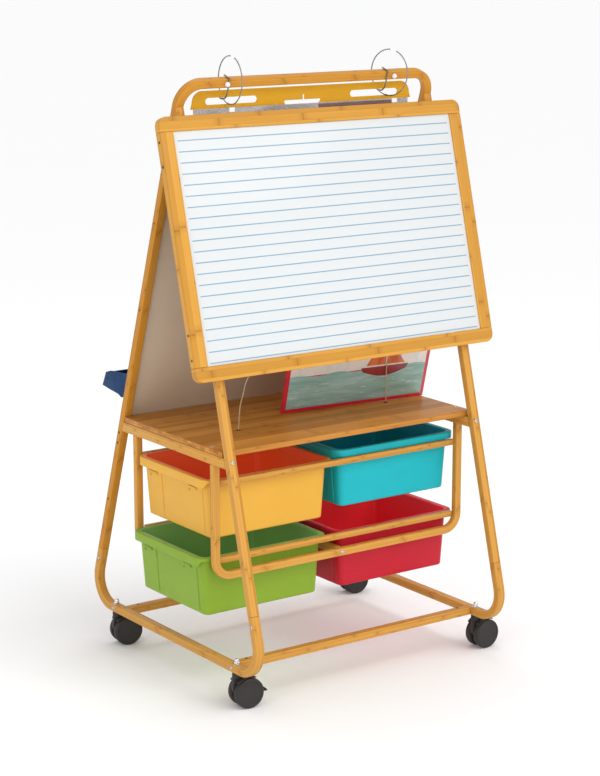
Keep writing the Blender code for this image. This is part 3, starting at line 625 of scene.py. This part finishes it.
def frames():
    """The rear loop frame, the two front legs, the bent corners, and the bars of the base."""
    centre = -LEG_THICK / 2
    lying, upright = bar_section(LEG_WIDE, LEG_THICK), bar_section(LEG_THICK, LEG_WIDE)
    foot = rear_face(0, LEG_SEAM_Z + GAP, centre)
    crown = rear_face(0, LOOP_TOP, -LEG_THICK) - REAR_UP * LEG_WIDE / 2 - REAR_OUT * centre
    corners = [(-LEG_X, *foot.yz), (-LEG_X, *crown.yz), (LEG_X, *crown.yz), (LEG_X, *foot.yz)]
    path = rounded_path(corners, LOOP_RADIUS - LEG_WIDE / 2, 18)
    wood("rear_frame", sweep(path, lying, REAR_OUT), BAMBOO_LOOP)

    kink = (rear_face(0, 1, -LEG_THICK - GAP), REAR_OUT)
    radius = BEND_RADIUS - LEG_THICK / 2
    for side, word in ((-1, "left"), (1, "right")):
        x = side * LEG_X
        leg = [front_face(x, LEG_SEAM_Z + GAP, centre), front_face(x, 1.38, centre)]
        wood(f"front_leg_{word}", sweep(leg, upright, ACROSS, kink))
        for end, face, foot_y, slope in (
            ("front", front_face, FRONT_FOOT_Y, FRONT_SLOPE),
            ("rear", rear_face, REAR_FOOT_Y, REAR_SLOPE),
        ):
            inward = copysign(1, -foot_y)
            turn_y = foot_y + inward * (LEG_THICK / 2 * hypot(1, slope) + slope * BASE_MID)
            seam = (x, SEAM_Y[end] - inward * GAP, BASE_MID)
            run = [face(x, LEG_SEAM_Z - GAP, centre), (x, turn_y, BASE_MID), seam]
            wood(f"{end}_corner_{word}", sweep(rounded_path(run, radius), upright, ACROSS))
        bar = [(x, SEAM_Y["front"] + GAP, BASE_MID), (x, SEAM_Y["rear"] - GAP, BASE_MID)]
        wood(f"base_bar_{word}", sweep(bar, upright, ACROSS))
    for end, y in CROSSBAR_Y.items():
        bar = [(x, y, BASE_MID) for x in (GAP - INNER_X, INNER_X - GAP)]
        wood(f"{end}_crossbar", sweep(bar, lying, (0, 0, 1)))


def whiteboard():
    """Two long rails, two short ones between them, and the ruled sheet."""
    place = axes(ACROSS, FRONT_UP, FRONT_OUT, front_face(0, BOARD_LOW))
    tall = (BOARD_HIGH - BOARD_LOW) / cos(FRONT_TILT)
    half, inner, radius = BOARD_HALF, BOARD_HALF - BOARD_RAIL, BOARD_CORNER
    low = arc((radius - half, radius), radius, 180, 270, 8)
    low += arc((half - radius, radius), radius, 270, 360, 8) + [(half, BOARD_RAIL), (-half, BOARD_RAIL)]
    low_end, high_end = BOARD_RAIL + GAP, tall - BOARD_RAIL - GAP
    rails = {"bottom": (low, 0), "top": ([(a, tall - b) for a, b in low], 0)}
    for side, word in ((-1, "left"), (1, "right")):
        rails[word] = ([(side * a, b) for a, b in rectangle(inner, low_end, half, high_end)], 1)
    for word, (outline, along) in rails.items():
        wood(f"board_rail_{word}", slab(outline, GAP, BOARD_THICK, place, 0.0018, along, 3), BAMBOO_RAIL)
    sheet = rectangle(GAP - inner, low_end, inner - GAP, high_end)
    work = slab(sheet, SHEET_BACK, SHEET_BACK + SHEET_THICK, place, 0.0004)
    grain, _ = layers(work)
    to_local = place.inverted()
    for vert in work.verts:
        vert[grain] = (to_local @ vert.co).xzy
    piece("whiteboard_face", work, WHITE, "frame", ["whiteboard_sheet"])


def shelf():
    """The board, with its tongue between the rear legs, and the two cleats under it."""
    low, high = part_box("shelf_board")
    tongue = INNER_X - GAP
    right = [(HALF, low.y), (HALF, SHELF_REAR), (tongue, SHELF_REAR), (tongue, SHELF_TONGUE)]
    outline = right + [(-a, b) for a, b in reversed(right)]
    wood("shelf_board", slab(outline, low.z, high.z, FLAT, 0.0022, 0, 3), BAMBOO_SHELF)
    reach = LEG_THICK + GAP
    for word in ("left", "right"):
        low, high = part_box(f"shelf_cleat_{word}")
        fronts, rears = [], []
        for z in (low.z, high.z):
            fronts.append((FRONT_FOOT_Y + FRONT_SLOPE * z + reach * hypot(1, FRONT_SLOPE), z))
            rears.append((REAR_FOOT_Y - REAR_SLOPE * z - reach * hypot(1, REAR_SLOPE), z))
        outline = [fronts[0], *rears, fronts[1]]
        wood(f"shelf_cleat_{word}", slab(outline, low.x, high.x, SIDEWAYS, 0.0016))


def tub_frames():
    """The two bent U frames, their stepped cross rails, and the stretcher between them."""
    low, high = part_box("tub_frame_front")
    wide, deep = 0.019, 0.016
    mid, reach = low.z + wide / 2, HALF - wide / 2
    for end, y in TUBE_Y.items():
        corners = [(-reach, y, high.z), (-reach, y, mid), (reach, y, mid), (reach, y, high.z)]
        path = rounded_path(corners, 0.05 - wide / 2, 12)
        wood(f"tub_frame_{end}", sweep(path, bar_section(wide, deep, 0.0024), (0, 1, 0)))
        inward = 1 if end == "front" else -1
        for level in ("upper", "lower"):
            name = f"tub_rail_{level}_{end}"
            corner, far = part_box(name)
            outer = corner.y if inward > 0 else far.y
            inner, ledge = outer + inward * 0.011, outer + inward * 0.02
            base, top = corner.z, far.z
            step = base + 0.0055
            outline = [(outer, base), (outer, top), (inner, top), (inner, step), (ledge, step), (ledge, base)]
            work = slab(outline, corner.x, far.x, SIDEWAYS, 0.0009)
            grain, _ = layers(work)
            seed = next_seed()
            for vert in work.verts:
                vert[grain] = Vector((vert.co.x + seed, vert.co.z - base, vert.co.y - outer))
            wood(name, work)
    near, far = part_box("tub_frame_stretcher")
    bar = [(0, near.y, mid), (0, far.y, mid)]
    wood("tub_frame_stretcher", sweep(bar, bar_section(wide, 0.018, 0.0024), ACROSS))


# ---- boards and tray


def rear_board():
    place = axes((-1, 0, 0), REAR_UP, REAR_OUT, rear_face(0, PANEL_LOW))
    half, tall = INNER_X - GAP, (PANEL_HIGH - PANEL_LOW) / cos(REAR_TILT)
    middle, thin = -LEG_THICK / 2, PANEL_THICK / 2
    work = slab(rectangle(-half, 0, half, tall), middle - thin, middle + thin, place)
    piece("rear_board", work, GREY, "frame", ["rear_panel"])


def marker_tray():
    """Back plate, floor and lip as one bent shell, closed by two end plates."""
    place = axes(REAR_OUT, REAR_UP, ACROSS, rear_face(0, TRAY_Z))
    wall, end = 0.0025, 0.003
    under = [(0.015, -0.01), (0.031, -0.0085), (0.069, -0.0165), (0.107, -0.0235), (0.101, 0.017)]
    floor = [(0.0985, 0.0165), (0.104, -0.0205), (0.069, -0.014), (0.031, -0.006), (0.014, -0.007)]
    bent = [(GAP, 0.07), (GAP, 0.0)] + under + floor + [(GAP + wall, 0.0035), (GAP + wall, 0.07)]
    shell = slab(bent, end - TRAY_HALF, TRAY_HALF - end, place, 0.0007)
    crest = [(0.083, 0.03), (0.06, 0.041), (0.033, 0.0505), (0.01, 0.06), (0.006, 0.07)]
    cheek = [(GAP, 0.07), (GAP, 0.0)] + under + crest
    parts = [shell]
    for side in (-1, 1):
        near, far = sorted((side * (TRAY_HALF - end + 0.0002), side * TRAY_HALF))
        parts.append(slab(cheek, near, far, place, 0.0009))
    piece("tray_shell", gather(parts), BLUE, "frame", ["marker_tray"])


# ---- tubs


def tub_ring(long, wide, radius, z, groove=0.0):
    """Points round a tub at one level; two upright grooves mark off the panel on each short end."""
    a, b = long / 2 - radius, wide / 2 - radius
    panel = (0.0672, 0.066, 0.062, 0.0608, -0.03, -0.1158, -0.117, -0.121, -0.1222)
    cut = [(t, groove if min(abs(t - 0.064), abs(t + 0.119)) < 0.0025 else 0) for t in panel]
    points = []
    for sx, sy, start in ((1, 1, 0), (-1, 1, 90), (-1, -1, 180), (1, -1, 270)):
        points += [(x, y, z) for x, y in arc((sx * a, sy * b), radius, start, start + 90, 8)]
        if (sx, sy) == (-1, 1):
            points += [(deep - long / 2, t, z) for t, deep in cut]
        elif (sx, sy) == (1, -1):
            points += [(long / 2 - deep, -t, z) for t, deep in cut]
        else:
            points += [(-sx * t, sy * wide / 2, z) for t in (-0.12, -0.06, 0.0, 0.06, 0.12)]
    return points


def tub(node):
    """A drafted tub with a hollow rim, deeper at its ends, grooved end panels and small clips."""
    low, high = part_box(node)
    x, y, top = (low.x + high.x) / 2, (low.y + high.y) / 2, high.z
    long, wide, tall = high.x - low.x, high.y - low.y, high.z - low.z
    side_lip = 0.0175 if node == "tub_teal" else 0.0078
    end_lip, wall, under, groove = 0.022, 0.0025, -0.0024, 0.0022
    rim, body = (long, wide), (long - 0.028, wide - 0.022)
    foot = (body[0] - 0.02, body[1] - 0.012)

    def level(size, more, radius, z, deep=0.0):
        """The points at one level; more is added to the length and the width."""
        return tub_ring(size[0] + more, size[1] + more, radius, z, deep)

    def lip(inset, lift=0.0):
        ring = []
        for a, b, _ in level(rim, -2 * inset, 0.03 - inset, 0):
            deep = min(max((wide / 2 - abs(b) - 0.0104) / 0.008, 0), 1) if abs(a) > long / 2 - 0.03 else 0
            deep = deep * deep * (3 - 2 * deep)
            ring.append((a, b, lift - side_lip - (end_lip - side_lip) * deep))
        return ring

    outside = [
        # the foot and the outer wall
        level(foot, -0.014, 0.01, -tall),
        level(foot, -0.006, 0.013, 0.0006 - tall),
        level(foot, -0.0015, 0.0145, 0.0022 - tall),
        level(foot, 0, 0.015, 0.005 - tall),
        tub_ring(foot[0] + 0.0004, foot[1] + 0.0003, 0.0152, 0.009 - tall),
        tub_ring(foot[0] + 0.001, foot[1] + 0.0006, 0.0155, 0.011 - tall, groove),
        tub_ring(body[0] - 0.003, body[1] - 0.0018, 0.0195, -0.029, groove),
        tub_ring(body[0] - 0.0026, body[1] - 0.0016, 0.02, -0.026),
        level(body, 0, 0.02, under - 0.001),
        level(body, 0.0012, 0.0206, under),
        # the rim and its lip
        level(rim, -0.004, 0.028, under),
        lip(0.002, 0.0003),
        lip(0.0012, 0.0),
        lip(0.0003, 0.0003),
        lip(0.0, 0.0014),
        level(rim, 0, 0.03, -0.0022),
        level(rim, -0.0008, 0.0296, -0.0008),
        level(rim, -0.003, 0.0285, 0),
    ]
    inside = [
        level(body, -0.0015, 0.0192, 0),
        level(body, -0.0038, 0.0184, -0.0008),
        level(body, -2 * wall, 0.0178, -0.003),
        level(foot, -2 * wall, 0.013, 0.012 - tall),
        level(foot, -2 * wall - 0.003, 0.012, 0.0062 - tall),
        level(foot, -0.018, 0.01, 0.0031 - tall),
    ]
    work = bmesh.new()
    _, edge = layers(work)
    rings = outside + inside
    loops = [[work.verts.new((a + x, b + y, c + top)) for a, b, c in ring] for ring in rings]
    # marks the inner rings for the painted inside colour and glow
    for vert in [v for loop in loops[len(outside):] for v in loop]:
        vert[edge] = 1.0
    close(work, loops)
    parts = [work]
    clips = axes((0, 1, 0), (0, 0, 1), ACROSS, (0, y, top))
    for side in (-1, 1):
        face = x + side * (body[0] / 2 - 0.0012)
        root = face - side * 0.0018
        for along in (-0.1 * side, 0.077 * side):
            beside = along - side * 0.0165
            tab = rectangle(along - 0.017, -0.037, along + 0.017, -0.03)
            rib = rectangle(beside - 0.0022, -0.044, beside + 0.0022, -0.022)
            parts.append(slab(tab, *sorted((root, face + side * 0.0026)), clips, 0.0006))
            parts.append(slab(rib, *sorted((root, face + side * 0.0016)), clips, 0.0006))
    hue = node.replace("tub_", "")
    piece(f"{node}_shell", gather(parts), PLASTIC[hue], node, [node], 40)


# ---- casters

CASTERS = {  # side, end, heading in degrees, and whether it has a brake
    "front_left": (-1, "front", -6, True),
    "front_right": (1, "front", 2, False),
    "rear_left": (-1, "rear", -9, False),
    "rear_right": (1, "rear", -4, True),
}


def wheel_profile(side):
    """A dished disc with a raised hub cap and a slightly crowned tread."""
    points = [
        (0, 0.0205), (0.0043, 0.0205), (0.0043, 0.0066), (0.0052, 0.0062), (0.0335, 0.0062), (0.0345, 0.0068),
        (0.0362, 0.0074), (0.0371, 0.0092), (0.0375, 0.0118), (0.0375, 0.0178), (0.0371, 0.0204),
        (0.0362, 0.0222), (0.0345, 0.0234), (0.033, 0.0239), (0.0312, 0.024), (0.0302, 0.0236),
        (0.0296, 0.0228), (0.0285, 0.0226), (0.018, 0.023), (0.008, 0.0232), (0.006, 0.0234), (0, 0.0234),
    ]
    return [(r, side * h) for r, h in points]


def caster_hood(word, foot, spin, beside):
    """The hood, the web between the wheels with its fins, the stem socket and the axle."""
    hood = arc((0, 0), 0.0425, 66, 138, 20) + arc((0, 0), 0.0395, 138, 66, 20)
    web = [(-0.034, 0.045), (-0.036, 0.022), (-0.036, 0.006), (-0.022, -0.014), (0, -0.022)]
    web += [(0.018, -0.014), (0.0245, 0.004), (0.0245, 0.022), (0.014, 0.036), (-0.01, 0.046)]
    fin = arc((0, 0), 0.0424, 70, 136, 16) + [(-0.028, 0.014), (0.01, 0.03)]
    parts = [slab(fin, d - 0.0008, d + 0.0008, beside, 0.0004) for d in (-0.0044, 0.0044)]
    parts += [slab(hood, -0.0215, 0.0215, beside, 0.0012), slab(web, -0.0052, 0.0052, beside, 0.0012)]
    socket = [(0, 0.074), (0.0095, 0.074), (0.011, 0.0752), (0.0115, 0.0768), (0.0115, 0.086)]
    socket += [(0.0108, 0.087), (0.0053, 0.0872), (0.0053, 0.0768), (0, 0.0768)]
    parts.append(lathe(socket, Matrix.Translation(foot), 32))
    half = [(0.004, 0.019), (0.0035, 0.0195), (0, 0.0195)]
    parts.append(lathe([(r, -h) for r, h in reversed(half)] + half, spin, 24))
    node = f"caster_body_{word}"
    piece(f"caster_{word}_hood", gather(parts), NYLON, f"caster_{word}", [node], 34)


def stem_nut(word, foot):
    """The stem and, on top of the bar, its washer and cap nut."""
    upright = Matrix.Translation(foot)
    cap = [(0, 0.1228), (0.0022, 0.1226), (0.004, 0.1217), (0.0052, 0.1201), (0.0058, 0.1178)]
    dome = lathe(cap + [(0.0058, 0.1158), (0, 0.1158)], upright, 32)
    hexagon = slab(arc((0, 0), 0.0076, 0, 300, 5), 0.1096, 0.116, upright, 0.0006)
    washer = lathe([(0, 0.1083), (0.0088, 0.1083), (0.0088, 0.1094), (0, 0.1094)], upright, 32)
    shank = [(0, 0.1082), (0.005, 0.1082), (0.005, 0.0776), (0.0045, 0.077), (0, 0.077)]
    work = gather([dome, hexagon, washer, lathe(shank, upright, 24)])
    piece(f"caster_{word}_nut", work, CHROME, "frame", [f"caster_stem_{word}"], 34)


def brake_pedal(word, place):
    """A lever from the pivot to a wide pad with four grip ridges."""
    lever = [(-0.004, 0.002), (0.0, 0.006), (0.01, 0.0035), (0.02, 0.001), (0.02, -0.0025)]
    lever += [(0.008, -0.002), (0.0, -0.005), (-0.004, -0.002)]
    pad = [(0.01, -0.0025), (0.01, 0.001), (0.0195, 0.0014), (0.0205, 0.0006), (0.0205, -0.003)]
    parts = [slab(lever, -0.0045, 0.0045, place), slab(pad, -0.012, 0.012, place)]
    for i in range(4):
        at = 0.012 + i * 0.0021
        parts.append(slab(rectangle(at, 0.002, at + 0.0009, 0.0008), -0.01, 0.01, place, 0.0002))
    node = f"brake_pedal_{word}"
    piece(f"brake_{word}_pedal", gather(parts), NYLON, f"brake_{word}", [node], 34)


def casters():
    for word, (side, end, heading, braked) in CASTERS.items():
        turn = radians(heading)
        ahead = Vector((cos(turn), sin(turn), 0))
        axle = Vector((-sin(turn), cos(turn), 0))
        foot = Vector((side * LEG_X, STEM_Y[end], 0))
        hub = foot + Vector((0, 0, WHEEL_RADIUS)) + ahead * TRAIL
        spin = axes(ahead, (0, 0, -1), axle, hub)
        for s, which in ((-1, "outer"), (1, "inner")):
            name = f"{word}_{which}"
            tyre = lathe(wheel_profile(s), spin, 56)
            node = f"caster_wheel_{name}"
            piece(f"wheel_{name}_tyre", tyre, TREAD, f"wheel_{name}", [node], 38)
        caster_hood(word, foot, spin, axes(ahead, (0, 0, 1), -axle, hub))
        stem_nut(word, foot)
        if braked:
            pivot = hub + ahead * 0.0305 + Vector((0, 0, -0.0015))
            brake_pedal(word, axes(ahead, (0, 0, 1), -axle, pivot))


# ---- hanging gear


def plate_with_holes(outline, holes, thick, round_edge, place):
    """A flat plate with holes, made as a filled 2D curve and turned into a mesh."""
    data = bpy.data.curves.new("plate", "CURVE")
    data.dimensions = "2D"
    data.fill_mode = "BOTH"
    data.extrude = thick / 2 - round_edge
    data.bevel_depth = round_edge
    data.bevel_resolution = 2
    data.offset = -round_edge
    for loop in [outline] + holes:
        line = data.splines.new("POLY")
        line.points.add(len(loop) - 1)
        line.use_cyclic_u = True
        for point, (a, b) in zip(line.points, loop):
            point.co = (a, b, 0, 1)
    holder = link("plate", data)
    bpy.context.view_layer.update()
    mesh = bpy.data.meshes.new_from_object(holder.evaluated_get(bpy.context.evaluated_depsgraph_get()))
    bpy.data.objects.remove(holder)
    work = bmesh.new()
    layers(work)
    work.from_mesh(mesh)
    bpy.data.meshes.remove(mesh)
    bmesh.ops.remove_doubles(work, verts=work.verts, dist=1e-6)
    bmesh.ops.transform(work, matrix=place, verts=work.verts)
    return work


def hanger_header(place):
    """Round upper corners, a slot for each ring, and a finger grip in the low edge."""
    half, low, high, radius, flare = 0.3205, 1.389, 1.431, 0.028, 0.004
    grip = [(-0.056, low - 0.0001), (-0.059, 1.396), (-0.057, 1.3985), (-0.0045, 1.3985)]
    grip += [(-0.0045, 1.41), (-0.0035, 1.411), (-0.0005, 1.411), (0.0005, 1.41)]
    grip += [(0.0005, 1.3985), (0.047, 1.3985), (0.049, 1.396), (0.044, low - 0.0001)]
    outline = [(-half - flare, low)] + grip + [(half + flare, low)]
    outline += arc((half - radius, high - radius), radius, 0, 90, 10)
    outline += arc((radius - half, high - radius), radius, 90, 180, 10)
    middle, end = 1.406, 0.008
    slots = []
    for near, far in ((-0.2835, -0.1375), (0.1375, 0.2835)):
        slot = arc((far - end, middle), end, -90, 90, 10) + arc((near + end, middle), end, 90, 270, 10)
        slots.append(slot)
    work = plate_with_holes(outline, slots, 0.003, 0.0007, place)
    piece("hanger_header", work, HANGER_YELLOW, "chart_hanger", ["hanger"], 40)


def chart_bag(place):
    """Two clear sheets with notches at the hooks, welded along three edges, and a chart inside."""
    top, bottom, wide, weld, notch = 1.3887, 0.955, 0.317, 0.006, 0.008
    film = [(-wide, top), (-wide, bottom), (wide, bottom), (wide, top)]
    for at in (0.276, -0.208):
        film += [(at + notch, top), (at + notch, top - 0.01), (at - notch, top - 0.01), (at - notch, top)]
    parts = [slab(film, d, d + 0.0004, place, 0.0001) for d in (-0.0015, 0.0011)]
    for seam in (
        (-wide, bottom, weld - wide, top - 0.012),
        (wide - weld, bottom, wide, top - 0.012),
        (weld - wide, bottom, wide - weld, bottom + weld),
    ):
        parts.append(slab(rectangle(*seam), -0.001, 0.001, place, 0.0002))
    piece("chart_bag_film", gather(parts), FILM, "chart_hanger", ["chart_bag"], 40)
    chart = slab(rectangle(-0.3, 0.966, 0.3, 1.368), -0.0005, 0.0002, place, 0.0001)
    piece("chart_insert", chart, CREAM, "chart_hanger")
    band = slab(rectangle(0.042, 1.33, 0.266, 1.386), 0.0003, 0.0008, place, 0.0001)
    piece("chart_insert_band", band, MAROON, "chart_hanger")


def tips(path, radius):
    """A small ball on each end of a wire."""
    first = facing(path[0], path[1] - path[0])
    last = facing(path[-1], path[-1] - path[-2])
    return [lathe(arc((0, 0), radius, -90, 90, 8), place, 16) for place in (first, last)]


def rings_and_hooks():
    """The two open rings with their hinges, the two wire hooks over the loop, and the balls."""
    for word, x, heading in (("left", -0.2315, -4), ("right", 0.238, 14)):
        turned = Matrix.Translation((x, -0.0605, 1.4545)) @ Matrix.Rotation(radians(heading), 4, "Z")
        spans = ((114, 450, 120), (277, 283, 4))
        path, hinge = ([turned @ Vector((0, *p)) for p in arc((0, 0), 0.0565, *span)] for span in spans)
        parts = [wire(path, 0.0015, 14)] + tips(path, 0.0021) + [wire(hinge, 0.0024, 14)]
        node = f"ring_{word}"
        piece(f"{node}_wire", gather(parts), RING_STEEL, node, [node], 40)
    profile = [(-0.0543, 1.4665), (-0.0705, 1.4613), (-0.0762, 1.459), (-0.0745, 1.4531)]
    profile += [(-0.069, 1.436), (-0.0655, 1.426), (-0.0595, 1.417), (-0.0505, 1.4115)]
    profile += [(-0.0385, 1.411), (-0.032, 1.4135), (-0.0297, 1.4195)]
    for word, x, ball_x in (("left", -0.243, -0.248), ("right", 0.222, 0.243)):
        path = smooth_curve([(x, y, z) for y, z in profile], 8)
        work = gather([wire(path, 0.0019, 14)] + tips(path, 0.0023))
        piece(f"hook_{word}_wire", work, BRONZED, "frame", [f"hook_{word}"], 40)
        ball = arc((0, 0), 0.0062, -90, 90, 14)
        ball = lathe(ball, Matrix.Translation((ball_x, -0.0745, 1.446)), 32)
        piece(f"hook_{word}_ball", ball, WHITE_BALL, "frame", (), 60)


# ---- cords, book, fasteners

CORDS = {
    "left": [(-0.226, -0.0775, SHELF_TOP + GAP), (-0.2215, -0.078, 0.671), (-0.217, -0.0845, 0.704),
             (-0.217, -0.1025, 0.744), (-0.217, -0.1435, 0.783), (-0.217, -0.209, 0.8)],
    "right": [(0.251, -0.0415, SHELF_TOP + GAP), (0.2475, -0.047, 0.672), (0.243, -0.057, 0.728),
              (0.237, -0.0935, 0.77), (0.232, -0.1485, 0.793), (0.23, -0.209, 0.8)],
}


def cords():
    eye = [(0, 0), (0.0045, 0), (0.0048, 0.0006), (0.0042, 0.0016), (0.0024, 0.002), (0, 0.002)]
    for word, knots in CORDS.items():
        work = wire(smooth_curve(knots, 14), 0.0014, 12)
        piece(f"cord_{word}", work, ELASTIC, "frame", [f"elastic_cord_{word}"], 60)
        work = lathe(eye, Matrix.Translation(knots[0]), 28)
        piece(f"cord_{word}_eyelet", work, BLACKENED, "frame", (), 40)


def display_book():
    """A stiff picture book with a red border, a pale sky, a sea and one plain sailing boat."""
    turn = Matrix.Rotation(radians(-5.07), 3, "Z")
    wide = turn @ Vector((1, 0, 0))
    face = turn @ Vector((0, -1, -0.28)).normalized()
    thick, half, tall = 0.008, 0.211, 0.345
    cover = thick / 2
    foot = Vector((0.1692, -0.0083, SHELF_TOP + cover * abs(face.z) + GAP))
    place = axes(wide, -wide.cross(face), face, foot)
    front, spine = rectangle(-half, 0, half, tall), rectangle(-half, 0, 0.003 - half, tall)
    parts = [slab(front, cover - 0.0022, cover, place, 0.0007)]
    parts.append(slab(front, -cover, 0.0022 - cover, place, 0.0007))
    parts.append(slab(spine, 0.0023 - cover, cover - 0.0023, place, 0.0004))
    piece("book_cover", gather(parts), BOOK_RED, "frame", ["display_book"])
    pages = rectangle(0.0034 - half, 0.003, half - 0.003, tall - 0.003)
    pages = slab(pages, 0.0024 - cover, cover - 0.0024, place, 0.0003)
    piece("book_pages", pages, CREAM, "frame")

    border, horizon, skin = 0.01, 0.098, 0.00025
    edge = half - border
    waves = [(edge - 2 * edge * i / 24, horizon + 0.003 * sin(i * 0.9)) for i in range(25)]
    hull = [(0.012 + 0.13 * i / 12, 0.09 - 0.016 * sin(pi * i / 12)) for i in range(13)]
    mainsail = [(0.02, 0.106), (0.078, 0.106), (0.074, 0.2)]
    jib = [(0.084, 0.106), (0.136, 0.106), (0.08, 0.18)]
    for name, look, layer, shapes in (
        ("sky", SKY, 0, [rectangle(-edge, horizon, edge, tall - border)]),
        ("sea", SEA, 1, [[(-edge, border), (edge, border)] + waves]),
        ("boat_hull", MAROON, 2, [hull + [(0.148, 0.102), (0.006, 0.102)]]),
        ("boat_sails", SAIL, 2, [mainsail, jib]),
    ):
        low, high = cover + layer * skin, cover + (layer + 1) * skin
        works = [slab(shape, low, high, place, 0.0001) for shape in shapes]
        piece(f"book_{name}", gather(works), look, "frame")


def button_head(point, normal, radius=0.005, tall=0.0024):
    """A button-head bolt with its hexagon socket."""
    profile = [(0, 0.25), (0.42, 0.25), (0.46, 0.97), (0.6, 1), (0.82, 0.78), (0.96, 0.4)]
    profile = [(radius * r, tall * h) for r, h in profile] + [(radius, 0.0001), (0, 0.0001)]
    return lathe(profile, facing(point, normal), 24)


def countersunk(point, normal, radius=0.0032):
    """A dark, nearly flush screw head with a small recess."""
    profile = [(0, 0.00012), (0.3, 0.00012), (0.34, 0.0004), (1, 0.0004), (1, 0.0001), (0, 0.0001)]
    return lathe([(radius * r, h) for r, h in profile], facing(point, normal), 20)


def fasteners():
    """The bolts of the frame, and the small dark screws in its sides and crossbars."""
    bolts, screws = [], []
    upward, bar_top, axis = (0, 0, 1), BASE_MID + LEG_THICK / 2, -LEG_THICK / 2
    for side in (-1, 1):
        x, leg_x, out = side * HALF, side * LEG_X, (side, 0, 0)
        at_feet = [front_face(x, 0.225, axis), rear_face(x, 0.218, axis)]
        at_feet += [(x, SEAM_Y["front"] - 0.022, BASE_MID), (x, SEAM_Y["rear"] + 0.022, BASE_MID)]
        bolts += [button_head(point, out) for point in at_feet]
        bolts.append(button_head(front_face(leg_x, 0.595), FRONT_OUT, 0.0052))
        bolts.append(button_head((leg_x, -0.178, SHELF_TOP), upward, 0.0048, 0.0018))
        bolts.append(button_head(rear_face(leg_x, 0.586), REAR_OUT, 0.0048))
        points = [rear_face(x, z, axis) for z in (0.574, 0.546, 0.389)]
        points += [front_face(side * BOARD_HALF, z, 0.011) for z in (1.32, 1.265, 0.889, 0.833)]
        screws += [countersunk(point, out) for point in points]
        screws += [countersunk(rear_face(x, z, axis), out, 0.0026) for z in (0.9, 1.12, 1.24)]
        for y in CROSSBAR_Y.values():
            screws.append(countersunk((side * 0.324, y + 0.003, bar_top), upward, 0.0036))
    for end, outward in (("front", -1), ("rear", 1)):
        bolts.append(button_head((0, TUBE_Y[end] + outward * 0.008, 0.3), (0, outward, 0), 0.0048))
    piece("frame_bolts", gather(bolts), BOLT_STEEL, "frame", (), 34)
    piece("frame_screws", gather(screws), BLACKENED, "frame", (), 34)


studio()
frames()
whiteboard()
shelf()
tub_frames()
rear_board()
marker_tray()
for tub_name in ("tub_yellow", "tub_green", "tub_teal", "tub_red"):
    tub(tub_name)
casters()
hung = axes(ACROSS, (0, 0, 1), (0, -1, 0), (HANG_X, HANG_Y, 0))
hanger_header(hung)
chart_bag(hung)
rings_and_hooks()
cords()
display_book()
fasteners()
